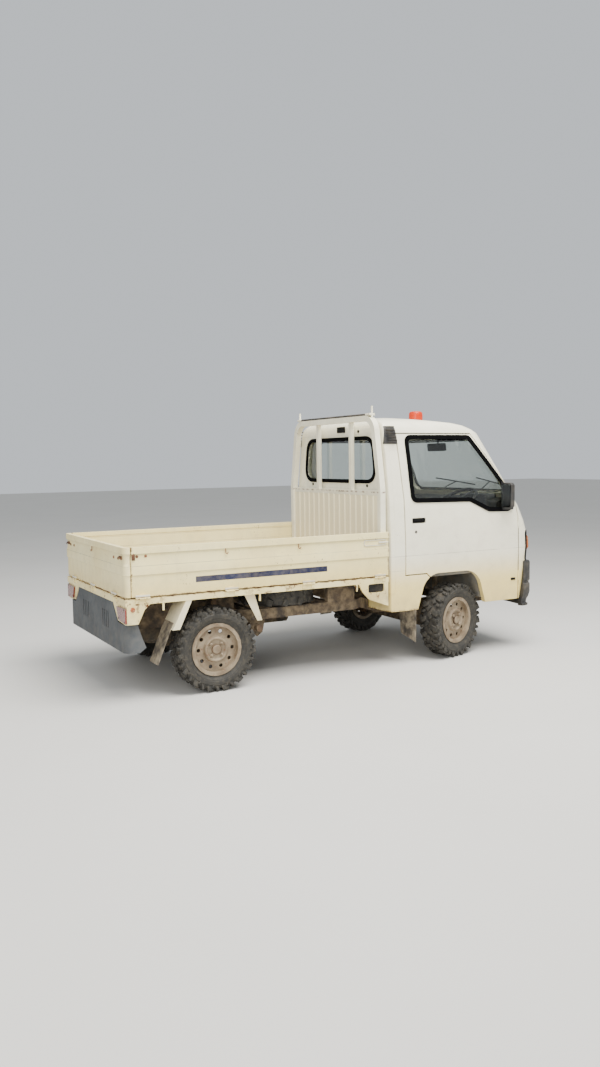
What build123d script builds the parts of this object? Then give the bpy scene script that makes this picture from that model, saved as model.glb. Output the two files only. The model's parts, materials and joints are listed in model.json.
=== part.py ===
"""Kei truck with a drop-side bed and a guard frame behind the cab, right-hand drive.

Millimetres. +X is forward, +Y is left and +Z is up. The origin is on the ground under the
middle of the truck. The front wheels stand turned a little to the left.
"""

from build123d import *
import os
from math import atan2, cos, degrees, pi, radians, sin

os.makedirs("parts", exist_ok=True)

# Overall layout
WHEELBASE = 1885
REAR_OVERHANG = 606
FRONT_OVERHANG = 804
TRACK = 1210
BED_WIDTH = 1395
LENGTH = REAR_OVERHANG + WHEELBASE + FRONT_OVERHANG
REAR_END = -LENGTH / 2
FRONT_END = LENGTH / 2
REAR_AXLE = REAR_END + REAR_OVERHANG
FRONT_AXLE = REAR_AXLE + WHEELBASE

# Gaps: pieces that seat on each other, and pieces that move past each other
SEAT_GAP = 0.3
DOOR_GAP = 8
GATE_GAP = 6

# Wheels, all four alike
TYRE_RADIUS = 270
TYRE_WIDTH = 155
LUG_HEIGHT = 9
BEAD_RADIUS = 153
RIM_WIDTH = 114
RIM_FLANGE = 17
RIM_OFFSET = 40
RIM_SHEET = 6
VENT_COUNT = 10
VENT_RADIUS = 13
VENT_CIRCLE = 116
STUD_CIRCLE = 100
HUB_RADIUS = 64
DRUM_RADIUS = 104
AXLE_RADIUS = 14
AXLE_HEIGHT = TYRE_RADIUS

# Steering
KINGPIN_Y = 545
KINGPIN_RADIUS = 20
STEER_REST = 15.7

# Cab, heights stacked up from the sill
CAB_WIDTH = 1386
CAB_BOTTOM = 385
CREASE_Z = CAB_BOTTOM + 286
BELT_Z = CREASE_Z + 103
COWL_Z = BELT_Z + 391
EAVES_Z = COWL_Z + 475
WALL = 38
ROOF_SHEET = 28
CORNER_STEPS = 4
REAR_STEPS = 2
BOW_STEPS = 3
CAB_REAR = FRONT_AXLE - 570
REAR_CORNER = 34

# Plan outlines of the cab from the sill to the crown of the roof. Columns: height, how much
# narrower each side is than the belt, reach of the front corner ahead of the front axle,
# bulge of the front, radius of the front corners, how far the rear steps in
LOWER_LEVELS = (
    (CAB_BOTTOM, 5, 640, 70, 80, 0),
    (CREASE_Z, 2.5, 695, 75, 80, 0),
    (BELT_Z, 0, 704, 75, 80, 0),
    (BELT_Z + 126, 3, 702, 75, 84, 0),
    (BELT_Z + 206, 7, 681, 76, 88, 0),
    (BELT_Z + 321, 13, 630, 78, 96, 0),
    (COWL_Z, 19, 586, 80, 105, 0),
    (COWL_Z + 235, 52, 450, 88, 125, 0),
    (EAVES_Z, 92, 306, 95, 150, 0),
)
ROOF_LEVELS = (
    (EAVES_Z, 92, 306, 95, 150, 0),
    (EAVES_Z + 28, 101, 262, 96, 150, 2),
    (EAVES_Z + 57, 116, 192, 96, 150, 10),
    (EAVES_Z + 75, 137, 107, 96, 150, 20),
    (EAVES_Z + 91, 173, -50, 96, 150, 35),
    (EAVES_Z + 103, 223, -180, 96, 150, 65),
    (EAVES_Z + 114, 320, -290, 90, 150, 120),
)

# Door outline, measured from the front axle and from the cab's levels
DOOR_REAR = 440
DOOR_LEAN = 21
DOOR_FRONT = 593
DOOR_HEEL = 258
DOOR_SILL = CREASE_Z - 30
DOOR_TOP = EAVES_Z - DOOR_GAP
PILLAR_TOP = 198
PILLAR_FOOT = 568
HINGE_RADIUS = 4
HINGE_LENGTH = 30
DOOR_HINGE_HEIGHTS = (CREASE_Z - 110, BELT_Z + 186)

# Wheel arch of the cab
ARCH_TOP = CREASE_Z - 37
ARCH_REAR = 262
ARCH_FRONT = 205
ARCH_FLARE = 85
ARCH_RADIUS = 150

# Bed
BED_FRONT = CAB_REAR - 15
FLOOR_Z = 640
FLOOR_SHEET = 12
GATE_DEPTH = 28
GATE_BOTTOM = 649
GATE_HEIGHT = 303
GATE_TOP = GATE_BOTTOM + GATE_HEIGHT
GATE_AXIS_Z = 641
BARREL_RADIUS = 6
GATE_INNER_Y = BED_WIDTH / 2 - BARREL_RADIUS - GATE_DEPTH
TAIL_INNER_X = REAR_END + BARREL_RADIUS + GATE_DEPTH
TAIL_RETURN = 8
TAIL_CORNER = 6
SILL_Z = 603
SILL_DEPTH = 54
SILL_Y = GATE_INNER_Y + 20.5
TAIL_SILL_X = TAIL_INNER_X - 20.5

# Pressed section of a gate: how far it stands out from the inner face, and its height
GATE_SECTION = (
    (0, GATE_BOTTOM),
    (18, GATE_BOTTOM),
    (18, GATE_BOTTOM + 130),
    (25, GATE_BOTTOM + 133),
    (25, GATE_BOTTOM + 187),
    (18, GATE_BOTTOM + 206),
    (18, GATE_TOP - 41),
    (27, GATE_TOP - 41),
    (27, GATE_TOP),
    (-3, GATE_TOP),
    (-3, GATE_TOP - 30),
    (0, GATE_TOP - 30),
)

# Guard frame behind the cab
POST_WIDTH = 40
POST_DEPTH = 43
GUARD_REAR = BED_FRONT - 47
GUARD_TOP = 1765
CROSSBAR_Z = 1201
CROSSBAR_HEIGHT = 35
GUARD_BAR_Y = 238
GUARD_BAR = 32

# Chassis
RAIL_WIDTH = 46
RAIL_HEIGHT = 68
RAIL_Z = 412
RAIL_DROP = 82


def keep(piece, label):
    """Name a finished piece and write it."""
    piece.part.label = label
    export_step(piece.part, f"parts/{label}.step")


def corner(x, y, radius, start, end, steps):
    """Points round a corner about (x, y), from one angle to another."""
    turns = [radians(start + (end - start) * step / steps) for step in range(steps + 1)]
    return [(x + radius * cos(turn), y + radius * sin(turn)) for turn in turns]


def plan_points(rear, front, half, bulge, radius, rear_radius):
    """Plan outline with straight sides, rounded corners and a bowed front, in short facets."""
    lean = 2 * bulge * (half - radius) / half**2
    edge = half - radius + radius * sin(lean)
    centre = front + bulge * (1 - (edge / half) ** 2) - radius * cos(lean)
    side = corner(rear + rear_radius, half - rear_radius, rear_radius, 180, 90, REAR_STEPS)
    side += corner(centre, half - radius, radius, 90, degrees(lean), CORNER_STEPS)
    for share in range(BOW_STEPS - 1, 0, -1):
        y = edge * share / BOW_STEPS
        side.append((front + bulge * (1 - (y / half) ** 2), y))
    return side + [(front + bulge, 0)] + [(x, -y) for x, y in reversed(side)]


def cab_envelope(levels, inset, lift=0):
    """Closed form through the cab's plan outlines, drawn in by the inset."""
    with BuildPart() as envelope:
        for height, narrower, reach, bulge, radius, step in levels:
            half = CAB_WIDTH / 2 - narrower - inset
            front = FRONT_AXLE + reach - inset
            rear = CAB_REAR + step + inset
            rear_radius = max(REAR_CORNER - inset * 0.8, 4)
            points = plan_points(rear, front, half, bulge, radius - inset * 0.8, rear_radius)
            with BuildSketch(Plane.XY.offset(height + lift)):
                with BuildLine():
                    Polyline(*points, close=True)
                make_face()
        loft(ruled=True)
    return envelope.part


def side_band(depth):
    """Both sides of the cab from outside their skin down to a depth below it."""
    skin = [(CAB_WIDTH / 2 - level[1], level[0]) for level in LOWER_LEVELS]
    with BuildPart() as band:
        with BuildSketch(Plane.YZ.offset(CAB_REAR - 50)):
            with BuildLine():
                Polyline(
                    *[(y + 30, z) for y, z in skin],
                    *[(y - depth, z) for y, z in reversed(skin)],
                    close=True,
                )
            make_face()
        extrude(amount=FRONT_END - CAB_REAR + 100)
        mirror(about=Plane.XZ)
    return band.part


def faceted(levels, plane, sides=24):
    """Closed form of regular polygons on a plane's normal. Levels hold height and radius."""
    with BuildPart() as form:
        for (low, start), (high, end) in zip(levels, levels[1:]):
            with BuildSketch(plane.offset(low)):
                RegularPolygon(start, sides)
            lean = degrees(atan2((start - end) * cos(pi / sides), high - low))
            extrude(amount=high - low, taper=lean)
    return form.part


def door_outline(gap):
    """Side view of a door, grown by a gap."""
    with BuildSketch(Plane.XZ) as outline:
        with BuildLine():
            Polyline(
                (FRONT_AXLE - DOOR_REAR, DOOR_SILL),
                (FRONT_AXLE - DOOR_REAR, COWL_Z),
                (FRONT_AXLE - DOOR_REAR - DOOR_LEAN, DOOR_TOP),
                (FRONT_AXLE + PILLAR_TOP, DOOR_TOP),
                (FRONT_AXLE + PILLAR_FOOT - 8, COWL_Z + 25),
                (FRONT_AXLE + DOOR_FRONT, BELT_Z + 240),
                (FRONT_AXLE + DOOR_FRONT, CAB_BOTTOM - 2 * DOOR_GAP),
                (FRONT_AXLE - DOOR_HEEL + 55, CAB_BOTTOM - 2 * DOOR_GAP),
                (FRONT_AXLE - DOOR_HEEL + 55, DOOR_SILL - 50),
                (FRONT_AXLE - DOOR_HEEL, DOOR_SILL),
                close=True,
            )
        make_face()
        if gap:
            offset(amount=gap, kind=Kind.INTERSECTION)
    return outline.sketch


def window_outline(clearance):
    """Side view of a door's window opening, drawn in by a clearance."""
    sill = COWL_Z - 7
    with BuildSketch(Plane.XZ) as outline:
        with BuildLine():
            Polyline(
                (FRONT_AXLE - DOOR_REAR + 68, sill),
                (FRONT_AXLE - DOOR_REAR + 55, DOOR_TOP - 18),
                (FRONT_AXLE + PILLAR_TOP - 20, DOOR_TOP - 18),
                (FRONT_AXLE + PILLAR_FOOT - 40, COWL_Z + 31),
                (FRONT_AXLE + PILLAR_FOOT - 40, COWL_Z - 101),
                (FRONT_AXLE + PILLAR_FOOT - 252, COWL_Z - 95),
                (FRONT_AXLE + PILLAR_TOP - 57, sill - 8),
                close=True,
            )
        make_face()
        fillet(outline.vertices(), 18)
        if clearance:
            offset(amount=-clearance)
    return outline.sketch


def arch_outline():
    """Side view of the opening for a front wheel."""
    foot = CAB_BOTTOM - 40
    with BuildSketch(Plane.XZ) as outline:
        with BuildLine():
            FilletPolyline(
                (FRONT_AXLE - ARCH_REAR - ARCH_FLARE, foot),
                (FRONT_AXLE - ARCH_REAR, ARCH_TOP),
                (FRONT_AXLE + ARCH_FRONT, ARCH_TOP),
                (FRONT_AXLE + ARCH_FRONT + ARCH_FLARE, foot),
                radius=ARCH_RADIUS,
            )
            Line(
                (FRONT_AXLE + ARCH_FRONT + ARCH_FLARE, foot),
                (FRONT_AXLE - ARCH_REAR - ARCH_FLARE, foot),
            )
        make_face()
    return outline.sketch


# Walls of the cab, open below and above, before they are split at the panels
outer_cab = cab_envelope(LOWER_LEVELS, 0)
inner_cab = cab_envelope(LOWER_LEVELS, WALL)
cab_lining = cab_envelope(LOWER_LEVELS, WALL + SEAT_GAP)
arch = arch_outline()

with BuildPart() as cab_shell:
    add(outer_cab)
    add(inner_cab, mode=Mode.SUBTRACT)
    extrude(arch, amount=CAB_WIDTH, both=True, mode=Mode.SUBTRACT)

BACK_FACE = CAB_REAR + WALL
BACK_FOOT = CAB_BOTTOM + 125
MIDDLE_X = FRONT_AXLE + 100

DOOR_DEPTH = 60
door_cut = door_outline(DOOR_GAP)
door_band = side_band(DOOR_DEPTH)
cut_band = side_band(DOOR_DEPTH + DOOR_GAP)
with BuildPart() as door_space:
    extrude(door_cut, amount=CAB_WIDTH, both=True)
    add(cut_band, mode=Mode.INTERSECT)

with BuildPart() as body_sides:
    add(cab_shell.part)
    add(door_space.part, mode=Mode.SUBTRACT)

# Rear wall of the cab with its window
REAR_WINDOW_SILL = 1295
REAR_WINDOW_TOP = 1612
REAR_WINDOW_HALF = CAB_WIDTH / 2 - 181
REAR_WINDOW_RADIUS = 95


def rear_window(clearance):
    """Outline of the rear window, drawn in by a clearance."""
    with BuildSketch(Plane.YZ.offset(CAB_REAR)) as outline:
        with BuildLine():
            Polyline(
                (-REAR_WINDOW_HALF, REAR_WINDOW_SILL),
                (-REAR_WINDOW_HALF + 45, REAR_WINDOW_TOP),
                (REAR_WINDOW_HALF - 45, REAR_WINDOW_TOP),
                (REAR_WINDOW_HALF, REAR_WINDOW_SILL),
                close=True,
            )
        make_face()
        fillet(outline.vertices(), REAR_WINDOW_RADIUS)
        if clearance:
            offset(amount=-clearance)
    return outline.sketch


rear_opening = rear_window(0)
rear_pane = rear_window(SEAT_GAP)

with BuildPart() as cab_back:
    add(cab_shell.part)
    with BuildSketch(Plane.XZ):
        with Locations((CAB_REAR + WALL / 2, (BACK_FOOT + EAVES_Z) / 2)):
            Rectangle(WALL, EAVES_Z - BACK_FOOT)
    extrude(amount=CAB_WIDTH, both=True, mode=Mode.INTERSECT)
    extrude(rear_opening, amount=WALL, mode=Mode.SUBTRACT)
keep(cab_back, "cab_back")

# Side of the cab: pillar behind the door and sill under it, right and left alike
with BuildPart() as cab_side_right:
    add(body_sides.part)
    with BuildSketch(Plane.XZ):
        with BuildLine():
            Polyline(
                (CAB_REAR - 5, CAB_BOTTOM),
                (CAB_REAR - 5, BACK_FOOT - SEAT_GAP),
                (BACK_FACE + SEAT_GAP, BACK_FOOT - SEAT_GAP),
                (BACK_FACE + SEAT_GAP, EAVES_Z),
                (MIDDLE_X, EAVES_Z),
                (MIDDLE_X, CAB_BOTTOM),
                close=True,
            )
        make_face()
    extrude(amount=CAB_WIDTH, mode=Mode.INTERSECT)
    with BuildSketch(Plane.XZ.offset(400)):
        with Locations(((CAB_REAR + MIDDLE_X) / 2, (CAB_BOTTOM + EAVES_Z) / 2)):
            Rectangle(LENGTH, LENGTH)
    extrude(amount=CAB_WIDTH, mode=Mode.INTERSECT)
keep(cab_side_right, "cab_side_right")

with BuildPart() as cab_side_left:
    mirror(cab_side_right.part, about=Plane.XZ)
keep(cab_side_left, "cab_side_left")

# Front of the cab: nose, cowl and windscreen pillars, with recesses for the lamps
SCREEN_SILL = COWL_Z + 22
SCREEN_TOP = EAVES_Z - 30
SCREEN_HALF_SILL = CAB_WIDTH / 2 - 105
SCREEN_HALF_TOP = CAB_WIDTH / 2 - 201
SCREEN_RADIUS = 60
LAMP_INNER_Y = CAB_WIDTH / 2 - 298
LAMP_BOTTOM = 690
LAMP_TOP = 885
LAMP_X = FRONT_AXLE + 676
LAMP_DEPTH = 15


def screen_outline(clearance):
    """Front view of the windscreen opening, drawn in by a clearance."""
    with BuildSketch(Plane.YZ.offset(FRONT_AXLE + 150)) as outline:
        with BuildLine():
            Polyline(
                (-SCREEN_HALF_SILL, SCREEN_SILL),
                (-SCREEN_HALF_TOP, SCREEN_TOP),
                (SCREEN_HALF_TOP, SCREEN_TOP),
                (SCREEN_HALF_SILL, SCREEN_SILL),
                close=True,
            )
        make_face()
        fillet(outline.vertices(), SCREEN_RADIUS)
        if clearance:
            offset(amount=-clearance)
    return outline.sketch


def lamp_outline(clearance):
    """Front view of both lamp recesses, drawn in by a clearance."""
    inner = LAMP_INNER_Y + clearance
    outer = CAB_WIDTH / 2 + 20
    height = LAMP_TOP - LAMP_BOTTOM - 2 * clearance
    with BuildSketch(Plane.YZ.offset(LAMP_X + clearance)) as outline:
        for side in (-1, 1):
            with Locations((side * (inner + outer) / 2, (LAMP_TOP + LAMP_BOTTOM) / 2)):
                Rectangle(outer - inner, height)
    return outline.sketch


lamp_floor = cab_envelope(LOWER_LEVELS, LAMP_DEPTH)
lamp_seat = cab_envelope(LOWER_LEVELS, LAMP_DEPTH - SEAT_GAP)

screen_opening = screen_outline(0)
lamp_opening = lamp_outline(0)
lamp_face = lamp_outline(SEAT_GAP)
lamp_front = cab_envelope(LOWER_LEVELS, -2)

with BuildPart() as lamp_space:
    extrude(lamp_opening, amount=300)
    add(lamp_floor, mode=Mode.SUBTRACT)

with BuildPart() as cab_front:
    add(body_sides.part)
    with BuildSketch(Plane.XZ):
        with Locations(((MIDDLE_X + FRONT_END) / 2, (CAB_BOTTOM + EAVES_Z) / 2)):
            Rectangle(FRONT_END - MIDDLE_X, EAVES_Z - CAB_BOTTOM)
    extrude(amount=CAB_WIDTH, both=True, mode=Mode.INTERSECT)
    extrude(screen_opening, amount=FRONT_END, mode=Mode.SUBTRACT)
    add(lamp_space.part, mode=Mode.SUBTRACT)
    for height in DOOR_HINGE_HEIGHTS:
        for side in (-1, 1):
            hinge_y = side * (CAB_WIDTH / 2 - 1)
            hinge_x = FRONT_AXLE + DOOR_FRONT + HINGE_RADIUS
            for end in (-1, 1):
                level = height + end * (HINGE_LENGTH * 0.85 + 0.4)
                with BuildSketch(Plane.XY.offset(level)):
                    with Locations((hinge_x, hinge_y)):
                        RegularPolygon(HINGE_RADIUS, 8)
                    with Locations((hinge_x + 5, hinge_y - side * 6)):
                        Rectangle(8, 10)
                extrude(amount=HINGE_LENGTH * 0.35, both=True)
keep(cab_front, "cab_front")

with BuildPart() as headlamps:
    extrude(lamp_face, amount=300)
    add(lamp_seat, mode=Mode.SUBTRACT)
    add(lamp_front, mode=Mode.INTERSECT)
keep(headlamps, "headlamps")

# Roof with a thin skin over the open cabin
roof_outer = cab_envelope(ROOF_LEVELS, 0)
roof_inner = cab_envelope(ROOF_LEVELS, 14, lift=-ROOF_SHEET)
roof_seat = cab_envelope(ROOF_LEVELS, 0, lift=SEAT_GAP)
with BuildPart() as cab_roof:
    add(roof_outer)
    add(roof_inner, mode=Mode.SUBTRACT)
keep(cab_roof, "cab_roof")

# Vents in the upper rear corners of the cab
VENT_FRONT = 466
VENT_BACK = 566
VENT_TOP = EAVES_Z + 48
VENT_FOOT = EAVES_Z - 78
vent_front = cab_envelope(LOWER_LEVELS + ROOF_LEVELS[1:4], -4)
vent_seat = cab_envelope(LOWER_LEVELS + ROOF_LEVELS[1:4], -SEAT_GAP)
with BuildPart() as pillar_vents:
    with BuildSketch(Plane.XZ):
        with BuildLine():
            Polyline(
                (FRONT_AXLE - VENT_BACK, VENT_FOOT),
                (FRONT_AXLE - VENT_BACK + 14, VENT_TOP),
                (FRONT_AXLE - VENT_FRONT - 8, VENT_TOP),
                (FRONT_AXLE - VENT_FRONT, VENT_TOP - 14),
                (FRONT_AXLE - VENT_FRONT + 8, VENT_FOOT),
                close=True,
            )
        make_face()
    extrude(amount=CAB_WIDTH, both=True)
    add(vent_front, mode=Mode.INTERSECT)
    add(vent_seat, mode=Mode.SUBTRACT)
keep(pillar_vents, "pillar_vents")

# Warning beacon on the roof
BEACON_RADIUS = 58
BEACON_X = FRONT_AXLE + 148
BEACON_TOP = 1831
BEACON_LEVELS = (
    (EAVES_Z + 50, BEACON_RADIUS),
    (BEACON_TOP - 10, BEACON_RADIUS),
    (BEACON_TOP, BEACON_RADIUS - 10),
)
beacon_form = faceted(BEACON_LEVELS, Plane(origin=(BEACON_X, 0, 0)))
with BuildPart() as beacon:
    add(beacon_form)
    add(roof_seat, mode=Mode.SUBTRACT)
keep(beacon, "beacon")

# Windscreen and rear window
GLASS_INSET = 14
GLASS_SHEET = 5
glass_outer = cab_envelope(LOWER_LEVELS, GLASS_INSET)
glass_inner = cab_envelope(LOWER_LEVELS, GLASS_INSET + GLASS_SHEET)
screen_pane = screen_outline(SEAT_GAP)
with BuildPart() as glass_band:
    add(glass_outer)
    add(glass_inner, mode=Mode.SUBTRACT)

with BuildPart() as cab_glass:
    add(glass_band.part)
    extrude(screen_pane, amount=FRONT_END, mode=Mode.INTERSECT)
    extrude(rear_pane.moved(Location((GLASS_INSET, 0, 0))), amount=GLASS_SHEET)
keep(cab_glass, "cab_glass")

# Doors: shell cut by the door's outline, with window, handle recess and hinge barrels
HANDLE_BACK = 382
HANDLE_LENGTH = 118
HANDLE_HEIGHT = 39
HANDLE_Z = BELT_Z + 245
door_face = door_outline(0)
window_opening = window_outline(0)
window_pane = window_outline(SEAT_GAP)
with BuildPart() as door_right:
    add(cab_shell.part)
    extrude(door_face, amount=CAB_WIDTH, mode=Mode.INTERSECT)
    add(door_band, mode=Mode.INTERSECT)
    extrude(window_opening, amount=CAB_WIDTH, mode=Mode.SUBTRACT)
    with BuildSketch(Plane.XZ.offset(CAB_WIDTH / 2 - 22)):
        with Locations((FRONT_AXLE - HANDLE_BACK + HANDLE_LENGTH / 2, HANDLE_Z)):
            RectangleRounded(HANDLE_LENGTH, HANDLE_HEIGHT, 8)
    extrude(amount=60, mode=Mode.SUBTRACT)
    for height in DOOR_HINGE_HEIGHTS:
        hinge_y = -(CAB_WIDTH / 2 - 1)
        with Locations((FRONT_AXLE + DOOR_FRONT + HINGE_RADIUS, hinge_y, height)):
            Cylinder(HINGE_RADIUS, HINGE_LENGTH)
        with Locations((FRONT_AXLE + DOOR_FRONT, hinge_y + 6, height)):
            Box(6, 10, HINGE_LENGTH)
keep(door_right, "door_right")

with BuildPart() as door_left:
    mirror(door_right.part, about=Plane.XZ)
keep(door_left, "door_left")

pane_line = [(GLASS_INSET + level[1] - CAB_WIDTH / 2, level[0]) for level in LOWER_LEVELS[4:]]
with BuildPart() as door_glass_right:
    with BuildSketch(Plane.YZ.offset(FRONT_AXLE - DOOR_REAR)):
        with BuildLine():
            Polyline(
                *pane_line,
                *[(y + GLASS_SHEET, z) for y, z in reversed(pane_line)],
                close=True,
            )
        make_face()
    extrude(amount=DOOR_REAR + DOOR_FRONT)
    extrude(window_pane, amount=CAB_WIDTH, mode=Mode.INTERSECT)
keep(door_glass_right, "door_glass_right")

with BuildPart() as door_glass_left:
    mirror(door_glass_right.part, about=Plane.XZ)
keep(door_glass_left, "door_glass_left")

# Mirrors on the front corners of the door windows
MIRROR_WIDTH = 112
MIRROR_HEIGHT = 190
MIRROR_DEPTH = 40
MIRROR_X = FRONT_AXLE + 447
MIRROR_Y = CAB_WIDTH / 2 + 52
MIRROR_Z = COWL_Z + 10
cab_seat = cab_envelope(LOWER_LEVELS, -SEAT_GAP)
with BuildPart() as mirror_right:
    with Locations((MIRROR_X, -MIRROR_Y, MIRROR_Z)):
        Box(MIRROR_DEPTH, MIRROR_WIDTH, MIRROR_HEIGHT)
    chamfer(mirror_right.edges().filter_by(Axis.X), 16)
    chamfer(mirror_right.faces().sort_by(Axis.X)[-1].edges(), 10)
    with BuildSketch(Plane.XZ.offset(CAB_WIDTH / 2 - 22)):
        with BuildLine():
            Polyline(
                (FRONT_AXLE + PILLAR_FOOT - 130, COWL_Z - 99),
                (FRONT_AXLE + PILLAR_FOOT - 130, COWL_Z + 118),
                (FRONT_AXLE + PILLAR_FOOT - 28, COWL_Z + 20),
                (FRONT_AXLE + PILLAR_FOOT - 28, COWL_Z - 99),
                close=True,
            )
        make_face()
    extrude(amount=28)
    with Locations((MIRROR_X + 12, -(CAB_WIDTH / 2 + 6), MIRROR_Z - 40)):
        Box(26, 40, 34)
    add(cab_seat, mode=Mode.SUBTRACT)
keep(mirror_right, "mirror_right")

with BuildPart() as mirror_left:
    mirror(mirror_right.part, about=Plane.XZ)
keep(mirror_left, "mirror_left")

# Cab floor: foot well, riser and seat base over the wheels
FLOOR_HALF = CAB_WIDTH / 2 - 53
FOOT_Z = 440
SEAT_BASE_Z = 630
PANEL = 25
RISER_X = FRONT_AXLE + 277
TOE_X = FRONT_AXLE + 557
with BuildPart() as cab_floor:
    with BuildSketch(Plane.XZ):
        with BuildLine():
            Polyline(
                (CAB_REAR, SEAT_BASE_Z),
                (RISER_X - 40, SEAT_BASE_Z),
                (RISER_X + 20, FOOT_Z),
                (TOE_X, FOOT_Z),
                (TOE_X + 80, SEAT_BASE_Z),
                (TOE_X + 105, SEAT_BASE_Z - 10),
                (TOE_X + 20, FOOT_Z - PANEL),
                (RISER_X, FOOT_Z - PANEL),
                (RISER_X - 60, SEAT_BASE_Z - PANEL),
                (CAB_REAR, SEAT_BASE_Z - PANEL),
                close=True,
            )
        make_face()
    extrude(amount=FLOOR_HALF, both=True)
    add(cab_lining, mode=Mode.INTERSECT)
keep(cab_floor, "cab_floor")

# Dashboard with the hood over the dials and the steering column
WHEEL_Y = -330
WHEEL_X = FRONT_AXLE + 276
WHEEL_Z = 1125
COLUMN_TILT = 30
COLUMN_RADIUS = 26
COLUMN_LENGTH = 300
DASH_HALF = CAB_WIDTH / 2 - 93
DASH_X = FRONT_AXLE + 425
column_plane = Plane(
    origin=(WHEEL_X, WHEEL_Y, WHEEL_Z),
    x_dir=(cos(radians(COLUMN_TILT)), 0, sin(radians(COLUMN_TILT))),
    z_dir=(-sin(radians(COLUMN_TILT)), 0, cos(radians(COLUMN_TILT))),
)
with BuildPart() as dashboard:
    with BuildSketch(Plane.XZ):
        with BuildLine():
            Polyline(
                (DASH_X + 20, COWL_Z - 320),
                (DASH_X, COWL_Z - 160),
                (DASH_X + 40, COWL_Z - 40),
                (DASH_X + 170, COWL_Z - 12),
                (FRONT_END, COWL_Z - 25),
                (FRONT_END, COWL_Z - 320),
                close=True,
            )
        make_face()
    extrude(amount=DASH_HALF, both=True)
    with Locations((DASH_X + 75, WHEEL_Y, COWL_Z - 20)):
        Box(110, 300, 60)
    with BuildSketch(column_plane.offset(-40)):
        Circle(COLUMN_RADIUS)
    extrude(amount=-COLUMN_LENGTH)
    add(cab_lining, mode=Mode.INTERSECT)
keep(dashboard, "dashboard")

WHEEL_RIM = 178
STEER_RATIO = 16
WHEEL_TURN = STEER_REST * STEER_RATIO
RIM_OUTSIDE = ((-12, 6), (-5, 12), (5, 12), (12, 6))
rim_outer = faceted([(z, WHEEL_RIM + reach) for z, reach in RIM_OUTSIDE], column_plane)
rim_inner = faceted([(z, WHEEL_RIM - reach) for z, reach in RIM_OUTSIDE], column_plane)
with BuildPart() as steering_wheel:
    add(rim_outer)
    add(rim_inner, mode=Mode.SUBTRACT)
    with BuildSketch(column_plane.offset(-17)):
        RegularPolygon(48, 12)
    extrude(amount=34)
    with BuildSketch(column_plane.offset(-5)):
        for angle in (90 + WHEEL_TURN, 180 + WHEEL_TURN, 270 + WHEEL_TURN):
            with Locations(Rot(0, 0, angle) * Pos(WHEEL_RIM / 2, 0)):
                Rectangle(WHEEL_RIM, 34)
    extrude(amount=8)
    with BuildSketch(column_plane.offset(-40 + SEAT_GAP)):
        Circle(COLUMN_RADIUS)
    extrude(amount=30)
keep(steering_wheel, "steering_wheel")

# Two seats on the seat base
SEAT_Y = 300
SEAT_WIDTH = 470
SEAT_BACK_X = CAB_REAR + 75
with BuildPart() as seats:
    for side in (-1, 1):
        with BuildSketch(Plane.XZ.offset(-side * SEAT_Y)):
            with BuildLine():
                Polyline(
                    (SEAT_BACK_X + 150, SEAT_BASE_Z + SEAT_GAP),
                    (SEAT_BACK_X + 670, SEAT_BASE_Z + SEAT_GAP),
                    (SEAT_BACK_X + 690, SEAT_BASE_Z + 150),
                    (SEAT_BACK_X + 150, SEAT_BASE_Z + 125),
                    close=True,
                )
            make_face()
            with BuildLine():
                Polyline(
                    (SEAT_BACK_X + 45, SEAT_BASE_Z + SEAT_GAP),
                    (SEAT_BACK_X + 149, SEAT_BASE_Z + SEAT_GAP),
                    (SEAT_BACK_X + 100, SEAT_BASE_Z + 655),
                    (SEAT_BACK_X, SEAT_BASE_Z + 655),
                    close=True,
                )
            make_face()
        extrude(amount=SEAT_WIDTH / 2, both=True)
keep(seats, "seats")

# Front bumper with its lower lip. Columns: height, reach of the corner ahead of the front end
BUMPER_HALF = CAB_WIDTH / 2 - 17
BUMPER_BULGE = 72
BUMPER_X = FRONT_AXLE + 560
BUMPER_CLEAR = 85
BUMPER_LEVELS = ((318, -72), (374, -25), (420, 0), (600, 0), (CREASE_Z, -14))
BUMPER_DEPTH = 45


def bumper_form(inset):
    """Closed form of the bumper, drawn in at the front and sides by the inset."""
    with BuildPart() as form:
        for height, reach in BUMPER_LEVELS:
            front = FRONT_END - BUMPER_BULGE + reach - inset
            half = BUMPER_HALF - inset
            points = plan_points(BUMPER_X, front, half, BUMPER_BULGE, 55 - inset / 2, 10)
            with BuildSketch(Plane.XY.offset(height)):
                with BuildLine():
                    Polyline(*points, close=True)
                make_face()
        loft(ruled=True)
    return form.part


bumper_outer = bumper_form(0)
bumper_inner = bumper_form(BUMPER_DEPTH)
with BuildPart() as front_bumper:
    add(bumper_outer)
    add(bumper_inner, mode=Mode.SUBTRACT)
    add(cab_seat, mode=Mode.SUBTRACT)
    with BuildSketch(Plane.XZ):
        with Locations((BUMPER_X, SEAT_BASE_Z)):
            Rectangle(2 * BUMPER_CLEAR, LENGTH)
    extrude(amount=CAB_WIDTH, both=True, mode=Mode.SUBTRACT)
keep(front_bumper, "front_bumper")

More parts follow.
